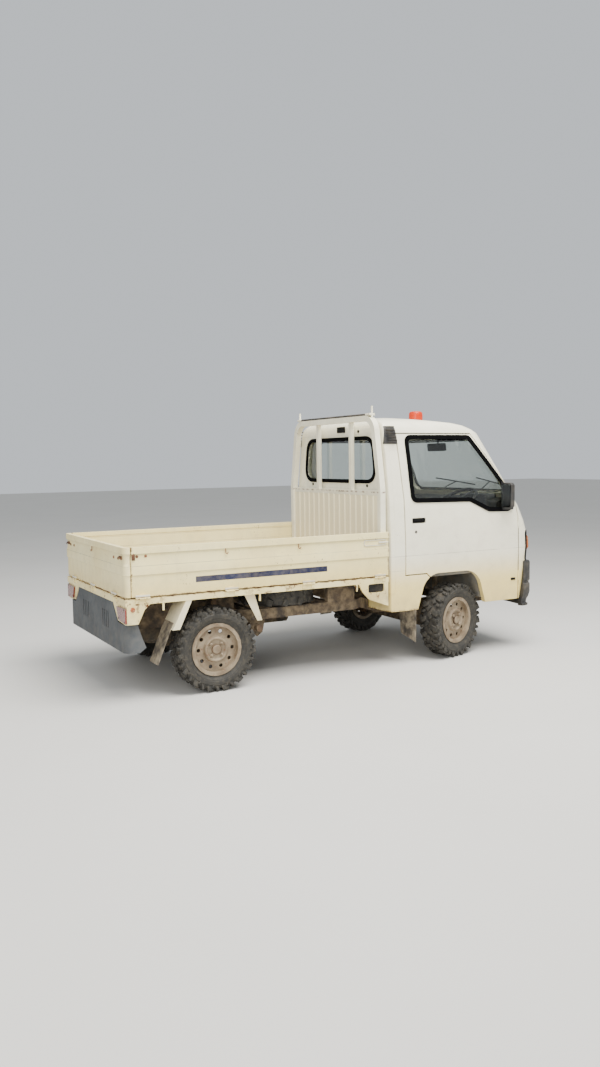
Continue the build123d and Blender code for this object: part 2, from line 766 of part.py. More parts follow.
# Bed floor with pressed ribs along it
RIB_COUNT = 13
RIB_PITCH = 96
RIB_WIDTH = 34
FLOOR_PLATE = 8
FLOOR_REAR = TAIL_INNER_X + GATE_GAP
FLOOR_SIDE = GATE_INNER_Y - GATE_GAP
RIB_END = GUARD_REAR - 6
with BuildPart() as bed_floor:
    with BuildSketch(Plane.YZ.offset(FLOOR_REAR)):
        with Locations((0, FLOOR_Z + FLOOR_PLATE / 2)):
            Rectangle(2 * FLOOR_SIDE, FLOOR_PLATE)
    extrude(amount=BED_FRONT - FLOOR_REAR)
    with BuildSketch(Plane.YZ.offset(FLOOR_REAR)):
        with GridLocations(RIB_PITCH, 1, RIB_COUNT, 1):
            with Locations((0, FLOOR_Z + (FLOOR_PLATE + FLOOR_SHEET) / 2)):
                Trapezoid(RIB_WIDTH, FLOOR_SHEET - FLOOR_PLATE, 60)
    extrude(amount=RIB_END - FLOOR_REAR)
keep(bed_floor, "bed_floor")

# Gates: a pressed section run along each side and round the tail
TAIL_END_X = TAIL_INNER_X + TAIL_CORNER + TAIL_RETURN
GATE_REAR = TAIL_END_X + GATE_GAP
GATE_LENGTH = BED_FRONT - GATE_REAR
HINGE_PLACES = (66, 652, GATE_LENGTH - 642, GATE_LENGTH - 74)
TAIL_HINGE_Y = 465
HINGE_HALF = 45
KNUCKLE_HALF = 20
PIN_GAP = 0.5
GATE_AXIS_Y = GATE_INNER_Y + GATE_DEPTH
TAIL_AXIS_X = TAIL_INNER_X - GATE_DEPTH

with BuildPart() as side_gate_right:
    with BuildSketch(Plane.YZ.offset(GATE_REAR)):
        with BuildLine():
            Polyline(*[(-(GATE_INNER_Y + out), z) for out, z in GATE_SECTION], close=True)
        make_face()
    extrude(amount=GATE_LENGTH)
    for place in HINGE_PLACES:
        with BuildSketch(Plane.YZ.offset(GATE_REAR + place)):
            with Locations((-GATE_AXIS_Y, GATE_AXIS_Z)):
                Circle(BARREL_RADIUS)
            with Locations((-(GATE_AXIS_Y - 7), GATE_AXIS_Z + 13)):
                Rectangle(8, 26)
        extrude(amount=KNUCKLE_HALF, both=True)
keep(side_gate_right, "side_gate_right")

with BuildPart() as side_gate_left:
    mirror(side_gate_right.part, about=Plane.XZ)
keep(side_gate_left, "side_gate_left")

tail_start = Plane(origin=(TAIL_END_X, -GATE_INNER_Y, 0), x_dir=(0, -1, 0), z_dir=(-1, 0, 0))
with BuildPart() as tail_gate:
    with BuildLine(Plane.XY):
        FilletPolyline(
            (TAIL_END_X, -GATE_INNER_Y),
            (TAIL_INNER_X, -GATE_INNER_Y),
            (TAIL_INNER_X, GATE_INNER_Y),
            (TAIL_END_X, GATE_INNER_Y),
            radius=TAIL_CORNER,
        )
    with BuildSketch(tail_start):
        with BuildLine():
            Polyline(*GATE_SECTION, close=True)
        make_face()
    sweep()
    for place in (-TAIL_HINGE_Y, 0, TAIL_HINGE_Y):
        with BuildSketch(Plane.XZ.offset(-place)):
            with Locations((TAIL_AXIS_X, GATE_AXIS_Z)):
                Circle(BARREL_RADIUS)
            with Locations((TAIL_AXIS_X + 7, GATE_AXIS_Z + 13)):
                Rectangle(8, 26)
        extrude(amount=KNUCKLE_HALF, both=True)
keep(tail_gate, "tail_gate")

# Frame under the bed: sills, cross members and hinge barrels
BEARER_Z = RAIL_Z + RAIL_HEIGHT + SEAT_GAP
CROSS_WIDTH = 60
CROSS_PLACES = (
    REAR_AXLE - 438,
    REAR_AXLE - 218,
    REAR_AXLE + 57,
    REAR_AXLE + 312,
    REAR_AXLE + 602,
    BED_FRONT - 418,
    BED_FRONT - 68,
)
REAR_RAIL_Y = 440
MIDDLE_RAIL_Y = 540
FRONT_RAIL_Y = 330
PEG_PLACES = (REAR_AXLE - 353, REAR_AXLE + 302, REAR_AXLE + 1041)
PEG_RADIUS = 7
SKIRT_SHEET = 14
HOUSING_X = REAR_END + 21
HOUSING_SIDE = 48
TAIL_SILL_DEPTH = 44
HOUSING_DEPTH = TAIL_SILL_X + TAIL_SILL_DEPTH - HOUSING_X
TAIL_SILL_Z = SILL_Z - 7
# Bearers on the rails. Columns: rear end, front end, distance from the middle
BEARER_SPANS = (
    (TAIL_SILL_X + TAIL_SILL_DEPTH + SEAT_GAP, REAR_AXLE + 212, REAR_RAIL_Y),
    (BED_FRONT - 423, BED_FRONT - 208, MIDDLE_RAIL_Y),
)
with BuildPart() as bed_frame:
    with BuildSketch(Plane.XZ.offset(SILL_Y - SILL_DEPTH)):
        with Locations(((TAIL_SILL_X + BED_FRONT) / 2, (SILL_Z + FLOOR_Z - SEAT_GAP) / 2)):
            Rectangle(BED_FRONT - TAIL_SILL_X, FLOOR_Z - SEAT_GAP - SILL_Z)
    extrude(amount=SILL_DEPTH)
    for place in HINGE_PLACES:
        for end in (-1, 1):
            middle = GATE_REAR + place + end * (HINGE_HALF + KNUCKLE_HALF + PIN_GAP) / 2
            with BuildSketch(Plane.YZ.offset(middle)):
                with Locations((-GATE_AXIS_Y, GATE_AXIS_Z)):
                    RegularPolygon(BARREL_RADIUS, 8)
                with Locations((-(GATE_AXIS_Y - 6), GATE_AXIS_Z - 14)):
                    Rectangle(8, 28)
            extrude(amount=(HINGE_HALF - KNUCKLE_HALF - PIN_GAP) / 2, both=True)
    mirror(about=Plane.XZ)
    with BuildSketch(Plane.XY.offset(SILL_Z + 1)):
        for place in CROSS_PLACES:
            reach = SILL_Y - SILL_DEPTH + 5
            with Locations((place, 0)):
                Rectangle(CROSS_WIDTH, 2 * reach)
    extrude(amount=FLOOR_Z - SEAT_GAP - SILL_Z - 1)
    with BuildSketch(Plane.YZ.offset(TAIL_SILL_X)):
        with Locations((0, (TAIL_SILL_Z + FLOOR_Z - SEAT_GAP) / 2)):
            Rectangle(2 * SILL_Y, FLOOR_Z - SEAT_GAP - TAIL_SILL_Z)
    extrude(amount=TAIL_SILL_DEPTH)
    for place in (-TAIL_HINGE_Y, 0, TAIL_HINGE_Y):
        for end in (-1, 1):
            middle = place + end * (HINGE_HALF + KNUCKLE_HALF + PIN_GAP) / 2
            with BuildSketch(Plane.XZ.offset(-middle)):
                with Locations((TAIL_AXIS_X, GATE_AXIS_Z)):
                    RegularPolygon(BARREL_RADIUS, 8)
                with Locations((TAIL_AXIS_X + 6, GATE_AXIS_Z - 14)):
                    Rectangle(8, 28)
            extrude(amount=(HINGE_HALF - KNUCKLE_HALF - PIN_GAP) / 2, both=True)
keep(bed_frame, "bed_frame")

# Bearers between the rails and the cross members
with BuildPart() as bed_bearers:
    with BuildSketch(Plane.XY.offset(BEARER_Z)):
        for start, end, line in BEARER_SPANS:
            with Locations(((start + end) / 2, -line)):
                Rectangle(end - start, RAIL_WIDTH)
    extrude(amount=SILL_Z + 1 - SEAT_GAP - BEARER_Z)
    mirror(about=Plane.XZ)
keep(bed_bearers, "bed_bearers")

# Lamp housings: a side plate and a rear plate under each rear corner of the bed
HOUSING_STEP = TAIL_SILL_X + TAIL_SILL_DEPTH + SEAT_GAP
with BuildPart() as lamp_housings:
    with BuildSketch(Plane.XZ.offset(SILL_Y - HOUSING_SIDE)):
        with BuildLine():
            Polyline(
                (HOUSING_X, 485),
                (REAR_END + 90, 485),
                (REAR_END + 109, 522),
                (REAR_END + 132, 571),
                (REAR_END + 168, SILL_Z - SEAT_GAP),
                (HOUSING_STEP, SILL_Z - SEAT_GAP),
                (HOUSING_STEP, TAIL_SILL_Z - SEAT_GAP),
                (HOUSING_X, TAIL_SILL_Z - SEAT_GAP),
                close=True,
            )
        make_face()
    extrude(amount=HOUSING_SIDE)
    with BuildSketch(Plane.YZ.offset(HOUSING_X)):
        with BuildLine():
            Polyline(
                (-SILL_Y, 485),
                (-SILL_Y + 34, 480),
                (-SILL_Y + 184, 490),
                (-SILL_Y + 259, 570),
                (-SILL_Y + 279, TAIL_SILL_Z - SEAT_GAP),
                (-SILL_Y, TAIL_SILL_Z - SEAT_GAP),
                close=True,
            )
        make_face()
    extrude(amount=HOUSING_DEPTH)
    mirror(about=Plane.XZ)
keep(lamp_housings, "lamp_housings")

# Skirts behind the cab, each with a window, and rope pegs under the sills
with BuildPart() as bed_skirts:
    with BuildSketch(Plane.XZ.offset(SILL_Y - SKIRT_SHEET)):
        with BuildLine():
            Polyline(
                (BED_FRONT - 242, SILL_Z - SEAT_GAP),
                (BED_FRONT - 219, 552),
                (BED_FRONT - 162, 492),
                (BED_FRONT - 13, 437),
                (BED_FRONT - 4, 436),
                (BED_FRONT - 4, SILL_Z - SEAT_GAP),
                close=True,
            )
        make_face()
        with Locations((BED_FRONT - 103, 567)):
            RectangleRounded(132, 61, 15, mode=Mode.SUBTRACT)
    extrude(amount=SKIRT_SHEET)
    mirror(about=Plane.XZ)
keep(bed_skirts, "bed_skirts")

PEG_LENGTH = 46
with BuildPart() as rope_pegs:
    with BuildSketch(Plane.XY.offset(SILL_Z - SEAT_GAP)):
        for place in PEG_PLACES:
            with Locations((place, -(SILL_Y - PEG_RADIUS))):
                Circle(PEG_RADIUS)
    extrude(amount=-PEG_LENGTH)
    mirror(about=Plane.XZ)
keep(rope_pegs, "rope_pegs")

# Guard frame behind the cab, its rubber pad, and the ribbed wall under its cross bar
POST_FOOT = FLOOR_Z + FLOOR_PLATE + SEAT_GAP
GUARD_SIDE = GATE_INNER_Y - GATE_GAP
GUARD_LEAN = 86
GUARD_KNEE = 1250
BAR_DEPTH = 28
with BuildPart() as guard_frame:
    with BuildSketch(Plane.YZ.offset(GUARD_REAR)):
        for inset, radius, mode in ((0, 130, Mode.ADD), (POST_WIDTH, 92, Mode.SUBTRACT)):
            side = GUARD_SIDE - inset
            foot = POST_FOOT - inset
            top = GUARD_TOP - inset
            with BuildLine():
                FilletPolyline(
                    (-side, foot),
                    (-side, GUARD_KNEE),
                    (-side + GUARD_LEAN, top),
                    (side - GUARD_LEAN, top),
                    (side, GUARD_KNEE),
                    (side, foot),
                    radius=radius,
                )
                Line((side, foot), (-side, foot))
            make_face(mode=mode)
    extrude(amount=POST_DEPTH)
    with BuildSketch(Plane.YZ.offset(GUARD_REAR + POST_DEPTH - BAR_DEPTH)):
        with Locations((0, CROSSBAR_Z + CROSSBAR_HEIGHT / 2)):
            Rectangle(2 * (GUARD_SIDE - POST_WIDTH) + 10, CROSSBAR_HEIGHT)
        for side in (-1, 1):
            with Locations((side * GUARD_BAR_Y, (CROSSBAR_Z + GUARD_TOP) / 2)):
                Rectangle(GUARD_BAR, GUARD_TOP - CROSSBAR_Z - 20)
    extrude(amount=BAR_DEPTH)
    for side in (-1, 1):
        with BuildSketch(Plane.XY.offset(GUARD_TOP - 30)):
            with Locations((GUARD_REAR + POST_DEPTH / 2, side * 525)):
                Circle(7)
        extrude(amount=95)
keep(guard_frame, "guard_frame")

PAD_HALF = 470
PAD_HEIGHT = 14
with BuildPart() as guard_pad:
    with Locations((GUARD_REAR + POST_DEPTH / 2, 0, GUARD_TOP + SEAT_GAP + PAD_HEIGHT / 2)):
        Box(POST_DEPTH, 2 * PAD_HALF, PAD_HEIGHT)
    chamfer(guard_pad.faces().sort_by(Axis.Z)[-1].edges(), 5)
keep(guard_pad, "guard_pad")

WALL_RIBS = 15
WALL_RIB_PITCH = 77
WALL_RIB = 24
WALL_RIB_DEPTH = 8
WALL_X = GUARD_REAR + 20
WALL_SHEET = 6
with BuildPart() as bed_front_wall:
    with BuildSketch(Plane.XY.offset(POST_FOOT)):
        with Locations((WALL_X, 0)):
            Rectangle(WALL_SHEET, 2 * (GUARD_SIDE - POST_WIDTH - SEAT_GAP))
            with GridLocations(1, WALL_RIB_PITCH, 1, WALL_RIBS):
                with Locations((-(WALL_SHEET + WALL_RIB_DEPTH) / 2, 0)):
                    Trapezoid(WALL_RIB, WALL_RIB_DEPTH, 60, rotation=90)
    extrude(amount=CROSSBAR_Z - SEAT_GAP - POST_FOOT)
keep(bed_front_wall, "bed_front_wall")

# Tail lamps in their housings
with BuildPart() as tail_lamps:
    with BuildSketch(Plane.YZ.offset(HOUSING_X - SEAT_GAP)):
        with BuildLine():
            Polyline(
                (-SILL_Y + 6, 492),
                (-SILL_Y + 149, 500),
                (-SILL_Y + 179, 580),
                (-SILL_Y + 6, 585),
                close=True,
            )
        make_face()
    extrude(amount=-10)
    mirror(about=Plane.XZ)
keep(tail_lamps, "tail_lamps")

# Cover behind the engine, wrapped round under the lamp housings
COVER_X = REAR_END + 20
COVER_SHEET = 5
COVER_HALF = SILL_Y - 39
COVER_NOTCH = SILL_Y - 184
COVER_DEPTH = 130
COVER_CORNER = 60
COVER_FOOT = 300
COVER_TOP = TAIL_SILL_Z - SEAT_GAP
HOUSING_FOOT = 479
PLATE_Z = 450
PLATE_PITCH = 210
PLATE_HOLE = 3.5
SLOT_HEIGHT = 110
SLOT_PLACES = (-290, -250, -210, -170, 170, 210, 250, 290)
with BuildPart() as rear_cover:
    with BuildSketch(Plane.XY.offset(COVER_FOOT)):
        for inset, mode in ((0, Mode.ADD), (COVER_SHEET, Mode.SUBTRACT)):
            with Locations((COVER_X + inset + COVER_DEPTH, 0)):
                RectangleRounded(
                    2 * COVER_DEPTH, 2 * (COVER_HALF - inset), COVER_CORNER - inset, mode=mode
                )
    extrude(amount=COVER_TOP - COVER_FOOT)
    with BuildSketch(Plane.YZ.offset(COVER_X)):
        with BuildLine():
            Polyline(
                (-COVER_HALF, HOUSING_FOOT),
                (-COVER_NOTCH, HOUSING_FOOT),
                (-COVER_NOTCH + 82, 560),
                (-COVER_NOTCH + 102, COVER_TOP),
                (COVER_NOTCH - 102, COVER_TOP),
                (COVER_NOTCH - 82, 560),
                (COVER_NOTCH, HOUSING_FOOT),
                (COVER_HALF, HOUSING_FOOT),
                (COVER_HALF, COVER_FOOT),
                (-COVER_HALF, COVER_FOOT),
                close=True,
            )
        make_face()
    extrude(amount=COVER_DEPTH, mode=Mode.INTERSECT)
    with BuildSketch(Plane.XZ):
        with BuildLine():
            Polyline(
                (COVER_X, COVER_TOP),
                (COVER_X + 70, COVER_TOP),
                (COVER_X + 78, HOUSING_FOOT),
                (COVER_X + 105, 393),
                (COVER_X + COVER_DEPTH, 330),
                (COVER_X + 90, COVER_FOOT),
                (COVER_X, COVER_FOOT),
                close=True,
            )
        make_face()
    extrude(amount=COVER_HALF, both=True, mode=Mode.INTERSECT)
    with BuildSketch(Plane.YZ.offset(COVER_X)):
        with Locations((0, PLATE_Z)):
            with GridLocations(PLATE_PITCH, 1, 2, 1):
                Circle(PLATE_HOLE)
        for place in SLOT_PLACES:
            with Locations((place, PLATE_Z + 15)):
                Rectangle(16, SLOT_HEIGHT)
    extrude(amount=COVER_SHEET, mode=Mode.SUBTRACT)
keep(rear_cover, "rear_cover")

# Mudguards behind the rear wheels and stays in front of them
GUARD_PLATE = 4
MUDGUARD_TOP = SILL_Z - SEAT_GAP
MUDGUARD_FOOT = 425
MUDGUARD_WIDTH = 190
MUDGUARD_SIDE = SILL_Y - 4
with BuildPart() as mudguards:
    with BuildSketch(Plane.XZ.offset(MUDGUARD_SIDE - MUDGUARD_WIDTH)):
        with BuildLine():
            Polyline(
                (REAR_AXLE - 205, MUDGUARD_TOP),
                (REAR_AXLE - 298, MUDGUARD_FOOT),
                (REAR_AXLE - 298 + GUARD_PLATE, MUDGUARD_FOOT),
                (REAR_AXLE - 205 + GUARD_PLATE, MUDGUARD_TOP),
                close=True,
            )
        make_face()
    extrude(amount=MUDGUARD_WIDTH)
    with BuildSketch(Plane.XZ.offset(MUDGUARD_SIDE - GUARD_PLATE)):
        with BuildLine():
            Polyline(
                (REAR_AXLE - 205, MUDGUARD_TOP),
                (REAR_AXLE - 298, MUDGUARD_FOOT),
                (REAR_AXLE - 250, MUDGUARD_FOOT),
                (REAR_AXLE - 166, MUDGUARD_TOP),
                close=True,
            )
        make_face()
    extrude(amount=GUARD_PLATE)
    with BuildSketch(Plane.XZ.offset(MUDGUARD_SIDE - 25)):
        with BuildLine():
            Polyline(
                (REAR_AXLE + 200, MUDGUARD_TOP),
                (REAR_AXLE + 292, MUDGUARD_FOOT),
                (REAR_AXLE + 326, MUDGUARD_FOOT),
                (REAR_AXLE + 272, MUDGUARD_TOP),
                close=True,
            )
        make_face()
    extrude(amount=GUARD_PLATE)
    mirror(about=Plane.XZ)
keep(mudguards, "mudguards")

FLAP_SHEET = 5
FRONT_FLAP_X = FRONT_AXLE - 351
FRONT_FLAP_SIDE = CAB_WIDTH / 2 - 8
with BuildPart() as mud_flaps:
    with BuildSketch(Plane.XZ.offset(MUDGUARD_SIDE - MUDGUARD_WIDTH + 10)):
        with BuildLine():
            Polyline(
                (REAR_AXLE - 277 - 1.2 * SEAT_GAP, MUDGUARD_FOOT + 40),
                (REAR_AXLE - 298 - 1.2 * SEAT_GAP, MUDGUARD_FOOT),
                (REAR_AXLE - 385, 212),
                (REAR_AXLE - 385 - FLAP_SHEET, 212),
                (REAR_AXLE - 298 - FLAP_SHEET, MUDGUARD_FOOT),
                (REAR_AXLE - 277 - FLAP_SHEET, MUDGUARD_FOOT + 40),
                close=True,
            )
        make_face()
    extrude(amount=MUDGUARD_WIDTH - 40)
    with BuildSketch(Plane.YZ.offset(FRONT_FLAP_X)):
        with BuildLine():
            Polyline(
                (-FRONT_FLAP_SIDE, CAB_BOTTOM - SEAT_GAP),
                (-FRONT_FLAP_SIDE + 205, CAB_BOTTOM - SEAT_GAP),
                (-FRONT_FLAP_SIDE + 185, 190),
                (-FRONT_FLAP_SIDE + 5, 150),
                close=True,
            )
        make_face()
    extrude(amount=-FLAP_SHEET)
    mirror(about=Plane.XZ)
keep(mud_flaps, "mud_flaps")

# Ladder frame: rails that spread in the middle and drop under the cab
RAIL_PLAN = (
    (REAR_END + 42, REAR_RAIL_Y),
    (REAR_AXLE + 200, REAR_RAIL_Y),
    (REAR_AXLE + 300, MIDDLE_RAIL_Y),
    (CAB_REAR - 210, MIDDLE_RAIL_Y),
    (CAB_REAR + 60, FRONT_RAIL_Y),
    (FRONT_AXLE + 590, FRONT_RAIL_Y),
)
FRONT_RAIL_Z = RAIL_Z - RAIL_DROP
TRAIL_X = REAR_AXLE + 349
TRAIL_Z = 357
TRAIL_RADIUS = 24
# Cross members between the rails. Columns: x, half length, height of the underside
FRAME_CROSSES = (
    (REAR_END + 58, REAR_RAIL_Y, RAIL_Z),
    (REAR_AXLE + 330, MIDDLE_RAIL_Y, RAIL_Z),
    (REAR_AXLE + 920, MIDDLE_RAIL_Y, RAIL_Z),
    (CAB_REAR + 150, FRONT_RAIL_Y, FRONT_RAIL_Z),
    (FRONT_AXLE + 300, FRONT_RAIL_Y, FRONT_RAIL_Z),
    (FRONT_AXLE + 570, FRONT_RAIL_Y, FRONT_RAIL_Z),
)
FRAME_CROSS_WIDTH = 40
with BuildPart() as frame:
    with BuildSketch(Plane.XY.offset(FRONT_RAIL_Z - 10)):
        with BuildLine():
            Polyline(
                *[(x, -(y - RAIL_WIDTH / 2)) for x, y in RAIL_PLAN],
                *[(x, -(y + RAIL_WIDTH / 2)) for x, y in reversed(RAIL_PLAN)],
                close=True,
            )
        make_face()
    extrude(amount=RAIL_DROP + RAIL_HEIGHT + 20)
    with BuildSketch(Plane.XZ):
        with BuildLine():
            Polyline(
                (REAR_END, RAIL_Z),
                (CAB_REAR - 140, RAIL_Z),
                (CAB_REAR + 110, FRONT_RAIL_Z),
                (FRONT_END, FRONT_RAIL_Z),
                (FRONT_END, FRONT_RAIL_Z + RAIL_HEIGHT),
                (CAB_REAR + 130, FRONT_RAIL_Z + RAIL_HEIGHT),
                (CAB_REAR - 120, RAIL_Z + RAIL_HEIGHT),
                (REAR_END, RAIL_Z + RAIL_HEIGHT),
                close=True,
            )
        make_face()
    extrude(amount=CAB_WIDTH, mode=Mode.INTERSECT)
    for place, top in ((CAB_REAR + 170, SEAT_BASE_Z - PANEL), (FRONT_AXLE + 400, FOOT_Z - PANEL)):
        with BuildSketch(Plane.XY.offset(FRONT_RAIL_Z + RAIL_HEIGHT - 1)):
            with Locations((place, -FRONT_RAIL_Y)):
                Rectangle(50, RAIL_WIDTH)
        extrude(amount=top - SEAT_GAP - FRONT_RAIL_Z - RAIL_HEIGHT + 1)
    with BuildSketch(Plane.XZ.offset(MIDDLE_RAIL_Y - 20)):
        with BuildLine():
            Polyline(
                (TRAIL_X - 60, RAIL_Z + 2),
                (TRAIL_X + 60, RAIL_Z + 2),
                (TRAIL_X + 38, TRAIL_Z - 35),
                (TRAIL_X, TRAIL_Z - 62),
                (TRAIL_X - 38, TRAIL_Z - 35),
                close=True,
            )
        make_face()
        with Locations((TRAIL_X, TRAIL_Z)):
            Circle(TRAIL_RADIUS + SEAT_GAP, mode=Mode.SUBTRACT)
    extrude(amount=14)
    mirror(about=Plane.XZ)
    for place, reach, foot in FRAME_CROSSES:
        with BuildSketch(Plane.XY.offset(foot + 6)):
            with Locations((place, 0)):
                Rectangle(FRAME_CROSS_WIDTH, 2 * reach)
        extrude(amount=RAIL_HEIGHT - 12)
keep(frame, "frame")

# Engine and gearbox behind the rear axle, and the tank between two cross members
ENGINE_TOP = 560
ENGINE_FOOT = 280
ENGINE_HALF = 250
GEARBOX_HALF = 130
engine_rear = FRAME_CROSSES[0][0] + FRAME_CROSS_WIDTH / 2 + SEAT_GAP
with BuildPart() as engine:
    with BuildSketch(Plane.XY.offset(ENGINE_FOOT)):
        with Locations(((engine_rear + REAR_AXLE - 150) / 2, 0)):
            Rectangle(REAR_AXLE - 150 - engine_rear, 2 * ENGINE_HALF)
    extrude(amount=ENGINE_TOP - ENGINE_FOOT)
    with BuildSketch(Plane.XY.offset(AXLE_HEIGHT - 60)):
        with Locations((REAR_AXLE - 40, 0)):
            Rectangle(260, 2 * GEARBOX_HALF)
    extrude(amount=200)
    chamfer(engine.edges().filter_by(Axis.X), 14)
keep(engine, "engine")

TANK_HALF = 200
TANK_Y = 270
TANK_FOOT = 250
tank_rear = FRAME_CROSSES[1][0] + FRAME_CROSS_WIDTH / 2 + SEAT_GAP
tank_front = FRAME_CROSSES[2][0] - FRAME_CROSS_WIDTH / 2 - SEAT_GAP
with BuildPart() as fuel_tank:
    with Locations(((tank_rear + tank_front) / 2, TANK_Y, (TANK_FOOT + RAIL_Z + 50) / 2)):
        Box(tank_front - tank_rear, 2 * TANK_HALF, RAIL_Z + 50 - TANK_FOOT)
    chamfer(fuel_tank.edges().filter_by(Axis.X), 26)
keep(fuel_tank, "fuel_tank")


# Wheel forms lie about the Y axis, their outer face towards +Y
WHEEL_PLANE = Plane(origin=(0, 0, 0), x_dir=(0, 0, -1), z_dir=(0, 1, 0))
LUG_COUNT = 15
LUG_WIDTH = 38
LUG_SLANT = 20
LUG_ROOT = 34
BORE_RADIUS = 32


def tyre_form(radius, width, bead_width):
    """Tyre with two rows of slanted lugs, one row half a step on from the other."""
    half = width / 2
    base = radius - LUG_HEIGHT
    bead = bead_width / 2 - SEAT_GAP
    tread = ((half, base - 29), (half - 8, base - 9), (half - 20, base))
    rows = [(-y, r) for y, r in tread] + [(y, r) for y, r in reversed(tread)]
    body = faceted(rows, WHEEL_PLANE)
    dish = faceted(
        ((bead, BEAD_RADIUS + RIM_FLANGE + 4), (half, base - 49), (half + 5, base - 40)), WHEEL_PLANE
    )
    bore = faceted(((-half, BEAD_RADIUS), (half, BEAD_RADIUS)), WHEEL_PLANE)
    lug_places = []
    for row, shift in ((-1, 0), (1, 0.5)):
        for step in range(LUG_COUNT):
            turn = (step + shift) * 360 / LUG_COUNT
            across = Pos(0, row * half * 0.52, LUG_ROOT / 2 - radius)
            lug_places.append(Rot(0, turn, 0) * across * Rot(0, 0, row * LUG_SLANT))
    with BuildPart() as form:
        add(body)
        with Locations(*lug_places):
            Box(LUG_WIDTH, half * 0.78, LUG_ROOT)
        add(dish, mode=Mode.SUBTRACT)
        add(dish.mirror(Plane.XZ), mode=Mode.SUBTRACT)
        add(bore, mode=Mode.SUBTRACT)
    return form.part


def rim_form(width, offset_y):
    """Pressed steel wheel: barrel with two flanges, and a dished disc with vents."""
    seat = BEAD_RADIUS - SEAT_GAP
    half = width / 2
    flange = seat + RIM_FLANGE
    inside = seat - RIM_SHEET
    barrel = faceted(((-half, seat), (half, seat)), WHEEL_PLANE)
    edge = faceted(((half, flange), (half + RIM_SHEET, flange)), WHEEL_PLANE)
    hollow = faceted(((-half - 10, inside), (half + 10, inside)), WHEEL_PLANE)
    disc = faceted(
        (
            (offset_y - 13, inside + 2),
            (offset_y - 7, inside + 2),
            (offset_y - 3, 86),
            (offset_y + RIM_SHEET, 74),
        ),
        WHEEL_PLANE,
    )
    disc_back = faceted(
        ((offset_y - 13, inside + 2), (offset_y - 9, 82), (offset_y, 70)), WHEEL_PLANE
    )
    with BuildPart() as form:
        add(barrel)
        add(edge)
        add(edge.mirror(Plane.XZ))
        add(hollow, mode=Mode.SUBTRACT)
        add(disc)
        add(disc_back, mode=Mode.SUBTRACT)
        with BuildSketch(Plane.XZ.offset(-offset_y - 20)):
            Circle(BORE_RADIUS)
            with PolarLocations(VENT_CIRCLE, VENT_COUNT):
                RegularPolygon(VENT_RADIUS, 8)
        extrude(amount=60, mode=Mode.SUBTRACT)
    return form.part


def hub_form():
    """Brake drum, hub face and spigot."""
    face = RIM_OFFSET - SEAT_GAP
    drum = faceted(((-30, DRUM_RADIUS), (RIM_OFFSET - 14, DRUM_RADIUS)), WHEEL_PLANE)
    cone = faceted(((RIM_OFFSET - 15, 84), (face, HUB_RADIUS)), WHEEL_PLANE)
    with BuildPart() as form:
        add(drum)
        add(cone)
        with BuildSketch(Plane.XZ.offset(-face + 1)):
            Circle(BORE_RADIUS - SEAT_GAP)
        extrude(amount=-21)
    return form.part


tyre_shape = tyre_form(TYRE_RADIUS, TYRE_WIDTH, RIM_WIDTH)
rim_shape = rim_form(RIM_WIDTH, RIM_OFFSET)
hub_shape = hub_form()

# Wheel places. Columns: name, kingpin or axle x, side, steering angle
KINGPIN_REACH = TRACK / 2 - KINGPIN_Y
WHEEL_PLACES = (
    ("front_right", FRONT_AXLE, -1, STEER_REST),
    ("front_left", FRONT_AXLE, 1, STEER_REST),
    ("rear_right", REAR_AXLE, -1, 0),
    ("rear_left", REAR_AXLE, 1, 0),
)


def wheel_location(x, side, steer):
    """Middle of a wheel, turned about its kingpin, its outer face outwards."""
    kingpin = Location((x, side * KINGPIN_Y, AXLE_HEIGHT), (0, 0, steer))
    turned = Location((0, 0, 0), (0, 0, 0 if side > 0 else 180))
    return kingpin * Location((0, side * KINGPIN_REACH, 0)) * turned


for name, x, side, steer in WHEEL_PLACES:
    with BuildPart() as tyre:
        with Locations(wheel_location(x, side, steer)):
            add(tyre_shape)
    keep(tyre, f"tyre_{name}")
    with BuildPart() as rim:
        with Locations(wheel_location(x, side, steer)):
            add(rim_shape)
    keep(rim, f"rim_{name}")

# Knuckles: drum, spigot and kingpin boss of each front wheel
KINGPIN_FOOT = 165
KINGPIN_TOP = 375
for name, x, side, steer in WHEEL_PLACES[:2]:
    kingpin = Location((x, side * KINGPIN_Y, 0), (0, 0, steer))
    with BuildPart() as knuckle:
        with Locations(wheel_location(x, side, steer)):
            add(hub_shape)
        with Locations(kingpin * Location((0, 0, (KINGPIN_FOOT + KINGPIN_TOP) / 2))):
            Cylinder(KINGPIN_RADIUS, KINGPIN_TOP - KINGPIN_FOOT - 2 * SEAT_GAP)
        with Locations(kingpin * Location((0, side * 18, AXLE_HEIGHT))):
            Box(34, 34, 70)
    keep(knuckle, f"knuckle_{name[6:]}")

